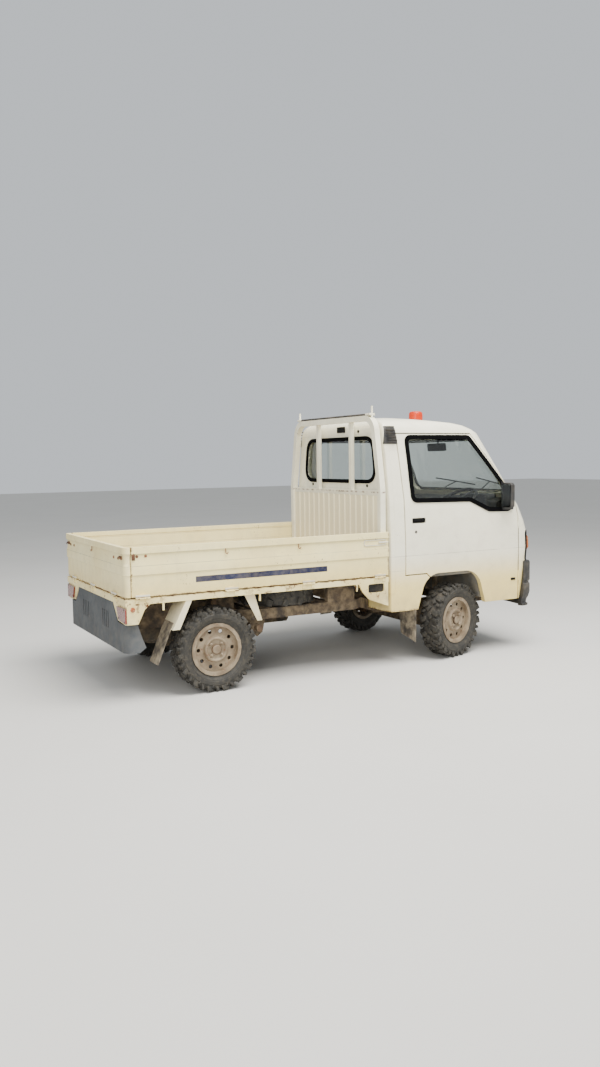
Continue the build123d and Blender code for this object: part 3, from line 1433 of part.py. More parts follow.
# Front suspension: cross member, wishbones, struts and half shafts
ARM_HALF = 22
STRUT_RADIUS = 20
STRUT_Y = 440
RAIL_OUTER = FRONT_RAIL_Y + RAIL_WIDTH / 2
with BuildPart() as front_suspension:
    with BuildSketch(Plane.YZ.offset(FRONT_AXLE - ARM_HALF)):
        with BuildLine():
            Polyline(
                (RAIL_OUTER - 20, 228),
                (RAIL_OUTER - 20, 195),
                (KINGPIN_Y - 20, KINGPIN_FOOT - 25),
                (KINGPIN_Y + 15, KINGPIN_FOOT - 25),
                (KINGPIN_Y + 15, KINGPIN_FOOT),
                (KINGPIN_Y - KINGPIN_RADIUS - 4, KINGPIN_FOOT),
                close=True,
            )
        make_face()
        with BuildLine():
            Polyline(
                (RAIL_OUTER + SEAT_GAP, KINGPIN_TOP),
                (KINGPIN_Y + 15, KINGPIN_TOP),
                (KINGPIN_Y + 15, KINGPIN_TOP + 20),
                (RAIL_OUTER + SEAT_GAP, KINGPIN_TOP + 20),
                close=True,
            )
        make_face()
    extrude(amount=2 * ARM_HALF)
    with BuildSketch(Plane.XY.offset(195)):
        with Locations((FRONT_AXLE, STRUT_Y)):
            RegularPolygon(STRUT_RADIUS, 12)
    extrude(amount=SEAT_BASE_Z - PANEL - SEAT_GAP - 195)
    with BuildSketch(Plane.XZ.offset(-RAIL_OUTER + 5)):
        with Locations((FRONT_AXLE, AXLE_HEIGHT)):
            RegularPolygon(AXLE_RADIUS, 10)
    extrude(amount=-(KINGPIN_Y - KINGPIN_RADIUS - SEAT_GAP - RAIL_OUTER + 5))
    mirror(about=Plane.XZ)
    with BuildSketch(Plane.XY.offset(190)):
        with Locations((FRONT_AXLE, 0)):
            Rectangle(130, 2 * RAIL_OUTER)
    extrude(amount=FRONT_RAIL_Z - SEAT_GAP - 190)
keep(front_suspension, "front_suspension")

# Rear suspension: trailing arms with their pivots, drums, dampers and half shafts
TRAIL_Y = 480
TRAIL_WIDTH = 32
DAMPER_X = REAR_AXLE + 56
with BuildPart() as rear_suspension:
    with BuildSketch(Plane.XZ.offset(-TRAIL_Y - TRAIL_WIDTH)):
        with Locations((TRAIL_X, TRAIL_Z)):
            Circle(30)
        with Locations((REAR_AXLE, AXLE_HEIGHT)):
            Circle(45)
        make_hull()
    extrude(amount=TRAIL_WIDTH)
    with BuildSketch(Plane.XZ.offset(-TRAIL_Y)):
        with Locations((TRAIL_X, TRAIL_Z)):
            Circle(TRAIL_RADIUS)
    extrude(amount=-95)
    with BuildSketch(Plane.XZ.offset(-GEARBOX_HALF - SEAT_GAP)):
        with Locations((REAR_AXLE, AXLE_HEIGHT)):
            RegularPolygon(AXLE_RADIUS, 10)
    extrude(amount=-(TRAIL_Y - GEARBOX_HALF))
    with BuildSketch(Plane.XZ.offset(-TRAIL_Y - 10)):
        with Locations((REAR_AXLE, AXLE_HEIGHT)):
            RegularPolygon(26, 12)
    extrude(amount=-100)
    with Locations(wheel_location(REAR_AXLE, 1, 0)):
        add(hub_shape)
    with BuildSketch(Plane.XY.offset(AXLE_HEIGHT + 10)):
        with Locations((DAMPER_X, TRAIL_Y + TRAIL_WIDTH / 2)):
            RegularPolygon(18, 12)
    extrude(amount=SILL_Z + 1 - SEAT_GAP - AXLE_HEIGHT - 10)
    mirror(about=Plane.XZ)
keep(rear_suspension, "rear_suspension")

# Spare wheel lying on the right-hand rail under the bed
SPARE_RADIUS = 262
SPARE_WIDTH = 120
SPARE_RIM = 84
SPARE_X = REAR_AXLE + 595
SPARE_Y = -328
spare_tyre = tyre_form(SPARE_RADIUS, SPARE_WIDTH, SPARE_RIM)
spare_rim = rim_form(SPARE_RIM, 20)
spare_z = RAIL_Z + RAIL_HEIGHT + SEAT_GAP + SPARE_WIDTH / 2
with BuildPart() as spare_wheel:
    with Locations(Location((SPARE_X, SPARE_Y, spare_z), (-90, 0, 0))):
        add(spare_tyre)
        add(spare_rim)
keep(spare_wheel, "spare_wheel")
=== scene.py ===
"""Looks of a kei truck with a drop-side bed: weathered paint, rubber, glass, seats and small trim.

Metres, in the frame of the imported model: +X forward, +Y left, +Z up.
"""

import json
import math

import bmesh
import bpy
from mathutils import Matrix, Vector


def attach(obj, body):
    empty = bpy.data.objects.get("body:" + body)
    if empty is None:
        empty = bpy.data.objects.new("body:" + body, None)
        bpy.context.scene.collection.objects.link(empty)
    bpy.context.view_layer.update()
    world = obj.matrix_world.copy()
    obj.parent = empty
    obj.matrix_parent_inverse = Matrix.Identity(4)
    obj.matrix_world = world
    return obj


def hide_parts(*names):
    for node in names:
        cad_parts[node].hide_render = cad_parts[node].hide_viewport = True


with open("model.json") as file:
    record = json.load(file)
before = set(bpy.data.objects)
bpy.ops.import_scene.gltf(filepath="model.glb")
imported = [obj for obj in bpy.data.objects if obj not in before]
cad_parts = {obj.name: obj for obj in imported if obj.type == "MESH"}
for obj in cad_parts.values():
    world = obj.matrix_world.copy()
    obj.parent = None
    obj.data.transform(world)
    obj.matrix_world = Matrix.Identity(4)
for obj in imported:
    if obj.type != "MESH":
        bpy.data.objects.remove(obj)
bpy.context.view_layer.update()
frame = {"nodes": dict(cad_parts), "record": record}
nodes = frame["nodes"]


# Materials
def rgb(red, green, blue):
    """Linear colour of an 8-bit one."""
    return tuple(((c / 255 + 0.055) / 1.055) ** 2.4 for c in (red, green, blue)) + (1.0,)


MUD = rgb(128, 112, 88)
DUST = rgb(165, 152, 128)
RUST = rgb(110, 56, 24)
DARK_RUST = rgb(66, 36, 22)
CREASE_SHADE = rgb(120, 112, 98)
GLASS_TINT = rgb(228, 233, 229)
FULL_TURN = 6.283


class Shader:
    """Principled material with short calls for its wiring."""

    def __init__(self, name, **sockets):
        self.material = bpy.data.materials.new(name)
        self.material.use_nodes = True
        self.tree = self.material.node_tree
        self.tree.nodes.clear()
        self.bsdf = self.node("BsdfPrincipled", **sockets)
        self.tree.links.new(self.bsdf.outputs[0], self.node("OutputMaterial").inputs[0])
        self.place = self.node("TexCoord").outputs["Object"]
        self.x, self.y, self.z = self.node("SeparateXYZ", self.place).outputs

    def put(self, socket, value):
        if isinstance(value, bpy.types.NodeSocket):
            self.tree.links.new(value, socket)
        else:
            socket.default_value = value

    def node(self, kind, *sources, **values):
        made = self.tree.nodes.new("ShaderNode" + kind)
        for index, source in enumerate(sources):
            self.put(made.inputs[index], source)
        for key, value in values.items():
            self.put(made.inputs[key.replace("_", " ")], value)
        return made

    def math(self, operation, a, b=0.0):
        made = self.node("Math", a, b)
        made.operation = operation
        return made.outputs[0]

    def times(self, *factors):
        total = factors[0]
        for factor in factors[1:]:
            total = self.math("MULTIPLY", total, factor)
        return total

    def noise(self, scale, detail=3.0, stretch=(1, 1, 1), rough=0.55, shift=0.0):
        where = self.node("Mapping", self.place, Location=(shift, shift, shift), Scale=stretch)
        made = self.node("TexNoise", where.outputs[0], Scale=scale, Detail=detail, Roughness=rough)
        return made.outputs[0]

    def ramp(self, value, low, high, top=1.0):
        """0 at low and top at high, smooth between."""
        made = self.node("MapRange", value, low, high, 0.0, top)
        made.interpolation_type = "SMOOTHSTEP"
        return made.outputs[0]

    def near(self, value, middle, reach):
        """1 where the value is at the middle, 0 farther off than the reach."""
        return self.ramp(self.math("ABSOLUTE", self.math("SUBTRACT", value, middle)), reach, 0.0)

    def mix(self, factor, a, b):
        made = self.tree.nodes.new("ShaderNodeMix")
        made.data_type = "RGBA"
        for index, value in ((0, factor), (6, a), (7, b)):
            self.put(made.inputs[index], value)
        return made.outputs[2]

    def finish(self, colour, roughness=None, height=None, strength=0.3, distance=0.002):
        self.put(self.bsdf.inputs["Base Color"], colour)
        if roughness is not None:
            self.put(self.bsdf.inputs["Roughness"], roughness)
        if height is not None:
            bump = self.node("Bump", Strength=strength, Distance=distance, Height=height)
            self.put(self.bsdf.inputs["Normal"], bump.outputs[0])
        return self.material


def painted(
    name, base, aged, dirt_top, dirt=0.8, rust=0.0, streaks=0.3, gloss=0.32, marks=(),
    stain=None, stain_top=0.8, lines=(),
):
    """Weathered paint: blotches, streaks, dirt thickening downwards, rust specks and edges, and
    painted shade along pressed lines.

    Each mark is an axis, a middle and a reach where rust gathers. Each line is a height and a
    reach of a pressed line, painted darker as the shade in its crease. The stain is a colour that
    grows downwards from its top."""
    s = Shader(name)
    s.bsdf.inputs["Coat Weight"].default_value = 0.15
    colour = s.mix(s.ramp(s.noise(2.4, 4), 0.35, 0.7), base, aged)
    if stain:
        colour = s.mix(s.ramp(s.z, stain_top, stain_top - 0.28), colour, stain)
    run = s.ramp(s.noise(1.0, 5, stretch=(11, 11, 0.7), rough=0.7), 0.5, 0.85, streaks)
    colour = s.mix(run, colour, DUST)
    # Painted shade: each pressed line is darkened with a mud-brown tone, broken up by noise
    for height, reach in lines:
        crease_shade = s.times(s.near(s.z, height, reach), s.ramp(s.noise(9, 4), 0.2, 0.6, 0.75))
        colour = s.mix(crease_shade, colour, CREASE_SHADE)
    low = s.ramp(s.z, dirt_top, dirt_top - 0.34)
    dusty = s.times(low, s.ramp(s.noise(8, 6, rough=0.65), 0.28, 0.72, dirt))
    colour = s.mix(dusty, colour, MUD)
    film = s.ramp(s.noise(14, 5), 0.4, 0.75, 0.16)
    colour = s.mix(film, colour, DUST)
    rusty = s.times(
        s.ramp(s.noise(60, 5, rough=0.7), 0.60, 0.68),
        s.ramp(s.noise(4, 5, shift=3), 0.5, 0.62, rust),
    )
    for axis, middle, reach in marks:
        edge = s.near(getattr(s, axis), middle, reach)
        edge = s.times(edge, s.ramp(s.noise(26, 6, rough=0.7, shift=7), 0.44, 0.62))
        rusty = s.math("MAXIMUM", rusty, edge)
    colour = s.mix(rusty, colour, s.mix(s.noise(70, 3), RUST, DARK_RUST))
    rough = s.math("ADD", s.math("MULTIPLY", dusty, 0.35), s.math("MULTIPLY", rusty, 0.45))
    rough = s.math("ADD", s.math("ADD", rough, film), gloss)
    height = s.math("ADD", s.math("MULTIPLY", s.noise(220, 3), 0.25), rusty)
    return s.finish(colour, rough, height, 0.25, 0.0012)


def plain(
    name, base, worn, roughness, dust=0.3, grain=180, bump=0.25, top=3.0, dust_colour=DUST,
    **sockets,
):
    """Moulded plastic, rubber or bare metal with wear, grain and settled dust."""
    s = Shader(name, **sockets)
    colour = s.mix(s.ramp(s.noise(7, 5), 0.35, 0.7), base, worn)
    low = s.ramp(s.z, top, top - 0.5)
    dusty = s.times(s.ramp(s.noise(16, 6, rough=0.65), 0.34, 0.7, dust), low)
    colour = s.mix(dusty, colour, dust_colour)
    rough = s.math("ADD", s.math("MULTIPLY", dusty, 0.4), s.ramp(s.noise(30, 3), 0.2, 0.8, 0.12))
    rough = s.math("ADD", rough, roughness - 0.06)
    return s.finish(colour, rough, s.noise(grain, 3), bump, 0.0008)


def bed_look():
    """Frame of the bed: cream outside, dried mud lower down and rust.

    Its inner faces under the floor are painted dark brown as shade.
    """
    s = Shader("bed_paint_weathered")
    colour = s.mix(s.ramp(s.noise(3, 5), 0.35, 0.7), rgb(244, 228, 168), rgb(230, 208, 142))
    colour = s.mix(s.ramp(s.z, 0.70, 0.86, 0.8), colour, rgb(240, 233, 200))
    low = s.times(s.ramp(s.z, 0.60, 0.48), s.ramp(s.noise(7, 6, rough=0.65), 0.3, 0.75, 0.7))
    colour = s.mix(low, colour, MUD)
    # Painted shade: the frame's inner faces under the floor are darkened to a mottled brown
    across = s.math("ABSOLUTE", s.y)
    inside = s.times(s.ramp(across, 0.655, 0.640), s.ramp(s.z, 0.650, 0.640))
    behind = s.times(inside, s.ramp(s.x, -1.600, -1.590))
    under_shade = s.mix(s.noise(16, 6), rgb(84, 70, 54), rgb(52, 44, 36))
    colour = s.mix(behind, colour, under_shade)
    rust = s.times(
        s.ramp(s.noise(30, 6, rough=0.7), 0.54, 0.62),
        s.ramp(s.noise(3, 4), 0.45, 0.6),
    )
    rust = s.times(rust, s.ramp(s.z, 0.82, 0.70))
    edge = s.times(s.near(s.z, 0.640, 0.007), s.ramp(s.noise(22, 6, shift=2), 0.4, 0.6))
    rust = s.math("MAXIMUM", rust, edge)
    colour = s.mix(rust, colour, s.mix(s.noise(70, 3), RUST, DARK_RUST))
    rough = s.math("ADD", 0.45, s.math("MULTIPLY", rust, 0.4))
    return s.finish(colour, rough, s.noise(120, 4), 0.3, 0.001)


def worn_floor():
    """Bed floor: paint scoured down to rust and dried mud."""
    s = Shader("bed_floor_worn")
    scour = s.ramp(s.noise(2.6, 7, stretch=(0.6, 1.4, 1), rough=0.7), 0.36, 0.58)
    colour = s.mix(scour, rgb(196, 182, 150), s.mix(s.noise(34, 5), RUST, DARK_RUST))
    mud = s.ramp(s.noise(5, 6, shift=4), 0.45, 0.62, 0.8)
    colour = s.mix(mud, colour, MUD)
    return s.finish(colour, s.ramp(scour, 0, 1, 0.9), s.noise(90, 5), 0.5, 0.002)


def tyre_look():
    """Dusty rubber with patches of dried mud."""
    s = Shader("tyre_dusty")
    colour = s.mix(s.ramp(s.noise(11, 6), 0.3, 0.7), rgb(34, 33, 30), rgb(50, 48, 43))
    mud = s.ramp(s.noise(46, 6, rough=0.75), 0.42, 0.75, 0.5)
    colour = s.mix(mud, colour, rgb(98, 90, 76))
    rough = s.math("ADD", s.math("MULTIPLY", mud, 0.2), 0.72)
    return s.finish(colour, rough, s.noise(130, 5), 0.5, 0.0015)


def wheel_look():
    """Pressed steel wheel under dried mud, with spots of rust."""
    s = Shader("wheel_muddy")
    colour = s.mix(s.ramp(s.noise(14, 6), 0.35, 0.65), rgb(144, 129, 106), rgb(116, 100, 79))
    rust = s.ramp(s.noise(48, 6, rough=0.7), 0.58, 0.68, 0.7)
    colour = s.mix(rust, colour, RUST)
    rough = s.math("ADD", s.math("MULTIPLY", rust, 0.2), 0.6)
    return s.finish(colour, rough, s.noise(160, 4), 0.35, 0.001)


def glass_look(name, tint):
    """Window glass with a film of dust towards its lower edge."""
    s = Shader(name, Transmission_Weight=1.0, IOR=1.45, Specular_IOR_Level=0.5)
    film = s.times(s.ramp(s.noise(11, 6, rough=0.65), 0.42, 0.8, 0.18), s.ramp(s.z, 1.5, 1.15))
    colour = s.mix(film, tint, rgb(206, 204, 192))
    return s.finish(colour, s.math("ADD", s.math("MULTIPLY", film, 0.5), 0.02))


def lens_look(name, deep, pale, pitch, through=0.3):
    """Moulded lens: fine ribs under a clear skin, dusty in patches."""
    s = Shader(name, Transmission_Weight=through, Coat_Weight=0.6, Coat_Roughness=0.1)
    ribs = s.math("SINE", s.math("MULTIPLY", s.y, FULL_TURN / pitch))
    colour = s.mix(s.ramp(ribs, -1, 1), deep, pale)
    dusty = s.ramp(s.noise(20, 6), 0.42, 0.7, 0.4)
    colour = s.mix(dusty, colour, DUST)
    rough = s.math("ADD", s.math("MULTIPLY", dusty, 0.4), 0.2)
    return s.finish(colour, rough, ribs, 0.25, 0.001)


def cloth_look():
    """Seat cloth: fine weave, dusty in patches."""
    s = Shader("seat_cloth_woven", Sheen_Weight=0.3, Sheen_Roughness=0.5)
    wave_x = s.math("SINE", s.math("MULTIPLY", s.math("ADD", s.x, s.z), 2600))
    wave_y = s.math("SINE", s.math("MULTIPLY", s.y, 2600))
    weave = s.math("MULTIPLY", wave_x, wave_y)
    colour = s.mix(s.ramp(weave, -1, 1), rgb(58, 60, 66), rgb(84, 86, 92))
    colour = s.mix(s.ramp(s.noise(6, 5), 0.45, 0.7, 0.4), colour, DUST)
    return s.finish(colour, s.ramp(s.noise(9, 3), 0, 1, 0.9), weave, 0.3, 0.0006)


WHITE = rgb(246, 241, 217)
CREAM = rgb(248, 234, 172)
LOW_CREAM = rgb(242, 218, 142)
# Pressed lines of the gates, by height and reach, painted darker as shade in their creases,
# and the rust along their foot
GATE_LINES = ((0.837, 0.0022), (0.781, 0.002), (0.911, 0.002))
GATE_FOOT = ("z", 0.649, 0.008)
looks = {
    "cab_paint": painted(
        "cab_paint_weathered", WHITE, rgb(240, 235, 210), dirt_top=0.62, dirt=0.5, rust=0.3,
        streaks=0.10, gloss=0.25, marks=(("z", 0.385, 0.016),), stain=LOW_CREAM,
        # The pressed lines are darkened as painted shade
        lines=((0.774, 0.0022), (0.671, 0.0016)),
    ),
    "door_paint": painted(
        "door_paint_weathered", WHITE, rgb(240, 235, 211), dirt_top=0.62, dirt=0.4, rust=0.2,
        # The pressed line at the belt is darkened as painted shade
        streaks=0.08, gloss=0.25, stain=LOW_CREAM, lines=((0.774, 0.0025),),
    ),
    "gate_paint": painted(
        "gate_paint_weathered", CREAM, rgb(242, 224, 158), dirt_top=0.80, dirt=0.35, rust=0.8,
        streaks=0.22, gloss=0.42,
        marks=(GATE_FOOT, ("x", -1.5935, 0.012), ("x", 0.2585, 0.014)),
        stain=rgb(240, 214, 136), stain_top=0.84, lines=GATE_LINES,
    ),
    "tail_paint": painted(
        "tail_paint_weathered", rgb(248, 236, 182), rgb(238, 220, 158), dirt_top=0.80,
        dirt=0.35, rust=0.8, streaks=0.3, gloss=0.45, marks=(GATE_FOOT,),
        stain=rgb(238, 214, 142), stain_top=0.84, lines=GATE_LINES,
    ),
    "guard_paint": painted(
        "guard_paint_weathered", rgb(244, 240, 216), rgb(232, 226, 198), dirt_top=0.75,
        dirt=0.4, rust=0.7, streaks=0.2, gloss=0.4,
        marks=(("z", 1.225, 0.010), ("z", 0.655, 0.02)),
    ),
    "mudguard_paint": painted(
        "mudguard_paint_weathered", rgb(240, 230, 194), rgb(222, 206, 164), dirt_top=0.58,
        dirt=0.75, rust=0.6, streaks=0.3, gloss=0.5,
    ),
    "bed_paint": bed_look(),
    "bed_floor_paint": worn_floor(),
    "tyre_rubber": tyre_look(),
    "wheel_paint": wheel_look(),
    "window_glass": glass_look("window_glass_dusty", GLASS_TINT),
    "door_window_glass": glass_look("door_glass_dusty", GLASS_TINT),
    "headlamp_lens": lens_look(
        "headlamp_lens_clear", rgb(190, 194, 194), rgb(228, 230, 228), pitch=0.012, through=0.2
    ),
    "tail_lamp_lens": lens_look(
        "tail_lamp_lens_red", rgb(104, 22, 18), rgb(138, 36, 30), pitch=0.008, through=0.15
    ),
    "seat_cloth": cloth_look(),
}
# Plastic, rubber and metal. Columns: slot, material, base colour, worn colour, then roughness,
# dust, grain, bump, and for some the top of the dust and its colour
PLAIN_LOOKS = (
    ("chassis_paint", "chassis_muddy", (44, 38, 33), (70, 58, 46), (0.85, 0.85, 90, 0.5, 1.0, MUD)),
    ("engine_metal", "engine_grimy", (70, 66, 60), (48, 42, 36), (0.8, 0.7, 90, 0.5, 1.0, MUD)),
    ("tank_paint", "tank_muddy", (36, 34, 32), (60, 52, 44), (0.8, 0.8, 90, 0.4, 1.0, MUD)),
    ("drum_iron", "drum_rusty", (96, 72, 52), (60, 44, 34), (0.85, 0.7, 120, 0.5, 1.0, MUD)),
    ("bumper_plastic", "bumper_moulded", (30, 30, 31), (44, 44, 45), (0.6, 0.2, 260, 0.3, 0.9)),
    ("cover_plastic", "cover_moulded", (62, 66, 70), (78, 82, 85),
     (0.7, 0.3, 200, 0.4, 0.75, rgb(128, 122, 112))),
    ("vent_plastic", "vent_moulded", (26, 27, 29), (40, 41, 43), (0.6, 0.15, 260, 0.3)),
    ("dash_plastic", "dash_moulded", (48, 50, 54), (60, 62, 66), (0.6, 0.25, 300, 0.3)),
    ("steering_plastic", "steering_moulded", (26, 26, 28), (40, 40, 42), (0.45, 0.1, 300, 0.2)),
    ("cabin_floor_paint", "cabin_floor_dusty", (120, 118, 112), (96, 94, 88), (0.6, 0.5, 120, 0.3)),
    ("flap_rubber", "flap_rubber_muddy", (52, 48, 44), (84, 76, 66), (0.8, 0.85, 120, 0.4, 1.0)),
    ("pad_rubber", "pad_rubber_worn", (24, 24, 26), (44, 42, 42), (0.7, 0.2, 160, 0.4)),
)
for slot, name, base, worn, feel in PLAIN_LOOKS:
    looks[slot] = plain(name, rgb(*base), rgb(*worn), *feel)
looks["mirror_plastic"] = plain(
    "mirror_moulded", rgb(34, 35, 37), rgb(52, 53, 55), 0.6, 0.12, 260, 0.3,
    Specular_IOR_Level=0.3,
)
looks["beacon_lens"] = plain(
    "beacon_lens_orange", rgb(182, 44, 0), rgb(192, 56, 0), 0.35, 0.04, 90, 0.05,
    Specular_IOR_Level=0.3,
)

RUBBER = plain(
    "seal_rubber", rgb(4, 4, 5), rgb(8, 8, 9), 0.8, 0.0, 240, 0.2, Specular_IOR_Level=0.05
)
BLACK = plain(
    "trim_black", rgb(6, 6, 7), rgb(12, 12, 13), 0.6, 0.02, 260, 0.25, Specular_IOR_Level=0.15
)
RUSTY = plain("fitting_rusty", rgb(128, 70, 34), rgb(72, 40, 24), 0.8, 0.3, 120, 0.6)
FITTING = painted(
    "fitting_paint", rgb(222, 216, 196), rgb(198, 186, 156), dirt_top=0.3, dirt=0.3, rust=1.4,
    streaks=0.3, gloss=0.45,
)
STEEL = plain(
    "bolt_steel", rgb(120, 118, 112), rgb(96, 92, 86), 0.45, 0.15, 200, 0.2, Metallic=0.7
)
AMBER = lens_look("indicator_lens_amber", rgb(176, 84, 24), rgb(214, 120, 40), pitch=0.008)
MIRROR_FACE = plain(
    "mirror_face", rgb(84, 88, 90), rgb(76, 80, 82), 0.1, 0.1, 50, 0.02, Metallic=1.0
)
STRIPE = plain(
    "stripe_worn", rgb(24, 31, 60), rgb(38, 45, 74), 0.6, 0.2, 200, 0.1, Specular_IOR_Level=0.2
)
# Near-black for openings: painted shade where only shade is seen
SHADE_BLACK = plain("opening_painted_shade", rgb(10, 10, 11), rgb(16, 16, 17), 0.9, 0.1, 100, 0.1)
# Darker rubber for the floors of the tyre's grooves: painted shade between the lugs
GROOVE_SHADE = plain("tyre_grooves_shaded", rgb(26, 25, 24), rgb(40, 38, 36), 0.85, 0.15, 120, 0.4)

record = frame["record"]
node_slots = {item["node"]: item["material_slot"] for item in record["subparts"]}
node_body = {
    node: body for body, members in record["behaviour"]["bodies"].items() for node in members
}
for name, node in nodes.items():
    for slot in node.material_slots:
        slot.material = looks[node_slots[name]]


# Shapes
SIDES = ((-1, "right"), (1, "left"))


def finished(name, mesh, body, material, angle=40, weighted=False):
    """Object from a bmesh, shaded smooth up to an angle."""
    data = bpy.data.meshes.new(name)
    mesh.to_mesh(data)
    mesh.free()
    piece = bpy.data.objects.new(name, data)
    bpy.context.scene.collection.objects.link(piece)
    data.materials.append(material)
    for face in data.polygons:
        face.use_smooth = True
    data.set_sharp_from_angle(angle=math.radians(angle))
    if weighted:
        even = piece.modifiers.new("even", "WEIGHTED_NORMAL")
        even.keep_sharp = True
    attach(piece, body)
    return piece


class Kit:
    """Collects small shapes into one mesh piece."""

    def __init__(self, both=False):
        self.mesh = bmesh.new()
        self.both = both

    def ring(self, points):
        """New vertices at the points."""
        return [self.mesh.verts.new(point) for point in points]

    def skin(self, rings, closed=False):
        """Faces between rings of vertices, closed from the last ring to the first if asked."""
        made = []
        for low, high in zip(rings, rings[1:] + (rings[:1] if closed else [])):
            for index in range(len(low)):
                after = (index + 1) % len(low)
                corners = (low[index], low[after], high[after], high[index])
                made.append(self.mesh.faces.new(corners))
        return made

    def capped(self, rings):
        """Skin over the rings, with a face over each end."""
        self.skin(rings)
        self.mesh.faces.new(reversed(rings[0]))
        self.mesh.faces.new(rings[-1])

    def box(self, place, size, bevel, turn=None):
        """Box with rounded edges."""
        made = bmesh.ops.create_cube(self.mesh, size=1.0)["verts"]
        matrix = Matrix.Translation(place) @ (turn or Matrix()) @ Matrix.Diagonal((*size, 1))
        bmesh.ops.transform(self.mesh, matrix=matrix, verts=made)
        edges = list(dict.fromkeys(e for v in made for e in v.link_edges))
        bmesh.ops.bevel(
            self.mesh, geom=edges, offset=bevel, segments=2, affect="EDGES", profile=0.6
        )

    def lathe(self, place, axis, profile, sides=24):
        """Ring or boss: profile points of radius and height, turned about the axis."""
        turn = Vector((0, 0, 1)).rotation_difference(Vector(axis)).to_matrix().to_4x4()
        matrix = Matrix.Translation(place) @ turn
        angles = [2 * math.pi * index / sides for index in range(sides)]
        self.capped([
            self.ring(matrix @ Vector((r * math.cos(a), r * math.sin(a), h)) for a in angles)
            for r, h in profile
        ])

    def tube(self, points, radius, sides=8):
        """Round bar along a line of points."""
        line = [Vector(p) for p in points]
        angles = [2 * math.pi * step / sides for step in range(sides)]
        rings = []
        side = None
        for index, point in enumerate(line):
            before, after = line[max(index - 1, 0)], line[min(index + 1, len(line) - 1)]
            along = (after - before).normalized()
            if side is None:
                side = along.orthogonal().normalized()
            side = (side - along * side.dot(along)).normalized()
            other = along.cross(side)
            rings.append(self.ring(
                point + (side * math.cos(a) * radius + other * math.sin(a) * radius)
                for a in angles
            ))
        self.capped(rings)

    def band(self, inner, outer, lift):
        """Closed band between two loops of points, raised by one vector or by one a point."""
        lifts = lift if isinstance(lift, list) else [Vector(lift)] * len(inner)
        loops = (
            inner, outer,
            [p + v for p, v in zip(outer, lifts)], [p + v for p, v in zip(inner, lifts)],
        )
        self.skin([self.ring(loop) for loop in loops], closed=True)

    def plate(self, outline, depth):
        """Flat plate: an outline of points, thickened by the depth vector."""
        front = self.ring(Vector(p) for p in outline)
        back = self.ring(Vector(p) + Vector(depth) for p in outline)
        self.mesh.faces.new(front)
        self.mesh.faces.new(reversed(back))
        self.skin([front, back])

    def make(self, name, body, material, angle=40):
        """Finishes the piece, on one side of the truck or on both."""
        if self.both:
            copy = bmesh.ops.duplicate(self.mesh, geom=self.mesh.verts[:] + self.mesh.faces[:])
            turned = [v for v in copy["geom"] if isinstance(v, bmesh.types.BMVert)]
            bmesh.ops.scale(self.mesh, vec=(1, -1, 1), verts=turned)
        bmesh.ops.recalc_face_normals(self.mesh, faces=self.mesh.faces)
        return finished(name, self.mesh, body, material, angle)


def rounded(points, radius, steps=6):
    """Closed outline with its corners rounded."""
    line = [Vector(p) for p in points]
    out = []
    for index, corner in enumerate(line):
        before, after = line[index - 1] - corner, line[(index + 1) % len(line)] - corner
        a, b = before.normalized(), after.normalized()
        half = math.acos(max(-1, min(1, a.dot(b)))) / 2
        cut = min(radius / math.tan(half), before.length / 2.2, after.length / 2.2)
        start, end = corner + a * cut, corner + b * cut
        for step in range(steps + 1):
            t = step / steps
            out.append(start * (1 - t) ** 2 + corner * 2 * t * (1 - t) + end * t * t)
    return out


def grown(outline, reach):
    """Outline moved outwards by a reach, in its own plane of two numbers."""
    count = len(outline)
    pairs = [(outline[i - 1], outline[i]) for i in range(count)]
    sign = 1 if sum(a.x * b.y - b.x * a.y for a, b in pairs) > 0 else -1
    out = []
    for index, point in enumerate(outline):
        along = (outline[(index + 1) % count] - outline[index - 1]).normalized()
        out.append(point + Vector((along.y, -along.x)) * reach * sign)
    return out


def spaced(outline, pitch):
    """Outline with points added so that none lie farther apart than the pitch."""
    out = []
    for index, point in enumerate(outline):
        after = outline[(index + 1) % len(outline)]
        parts = max(1, int((after - point).length / pitch))
        out.extend(point.lerp(after, part / parts) for part in range(parts))
    return out


# Outer skin of the cab's side. Columns: height, half width, front corner, corner radius
SKIN = (
    (0.385, 0.688, 1.4835, 0.080),
    (0.671, 0.6905, 1.5385, 0.080),
    (0.774, 0.693, 1.5475, 0.080),
    (0.900, 0.690, 1.5455, 0.084),
    (0.980, 0.686, 1.5245, 0.088),
    (1.095, 0.680, 1.4735, 0.096),
    (1.165, 0.674, 1.4295, 0.105),
    (1.400, 0.641, 1.2935, 0.125),
    (1.640, 0.601, 1.1495, 0.150),
)
# Place where a front corner begins and how far it is followed, as shares of its radius
CORNER_START = 0.787
CORNER_REACH = 0.95
# Bow of the cab's front below the windscreen
NOSE_BULGE = 0.075


def skin_at(z):
    """Row of the skin's table for a height, share of the way to the next row, sizes there."""
    row = next((i for i in range(len(SKIN) - 1) if z <= SKIN[i + 1][0]), len(SKIN) - 2)
    low, high = SKIN[row], SKIN[row + 1]
    share = max(0.0, min(1.0, (z - low[0]) / (high[0] - low[0])))
    return row, share, [low[i] + (high[i] - low[i]) * share for i in (1, 2, 3)]


def on_side(point, out, side):
    """Place of a point in side view, on the skin of the cab's side."""
    half, front, radius = skin_at(point.y)[2]
    past = min(max(0.0, point.x - (front - CORNER_START * radius)), CORNER_REACH * radius)
    skin_y = half - radius + math.sqrt(radius * radius - past * past)
    return Vector((point.x, side * (skin_y + out), point.y))


# Degrees above which an edge of a CAD node gets rounded
SHARP_ANGLE = 30


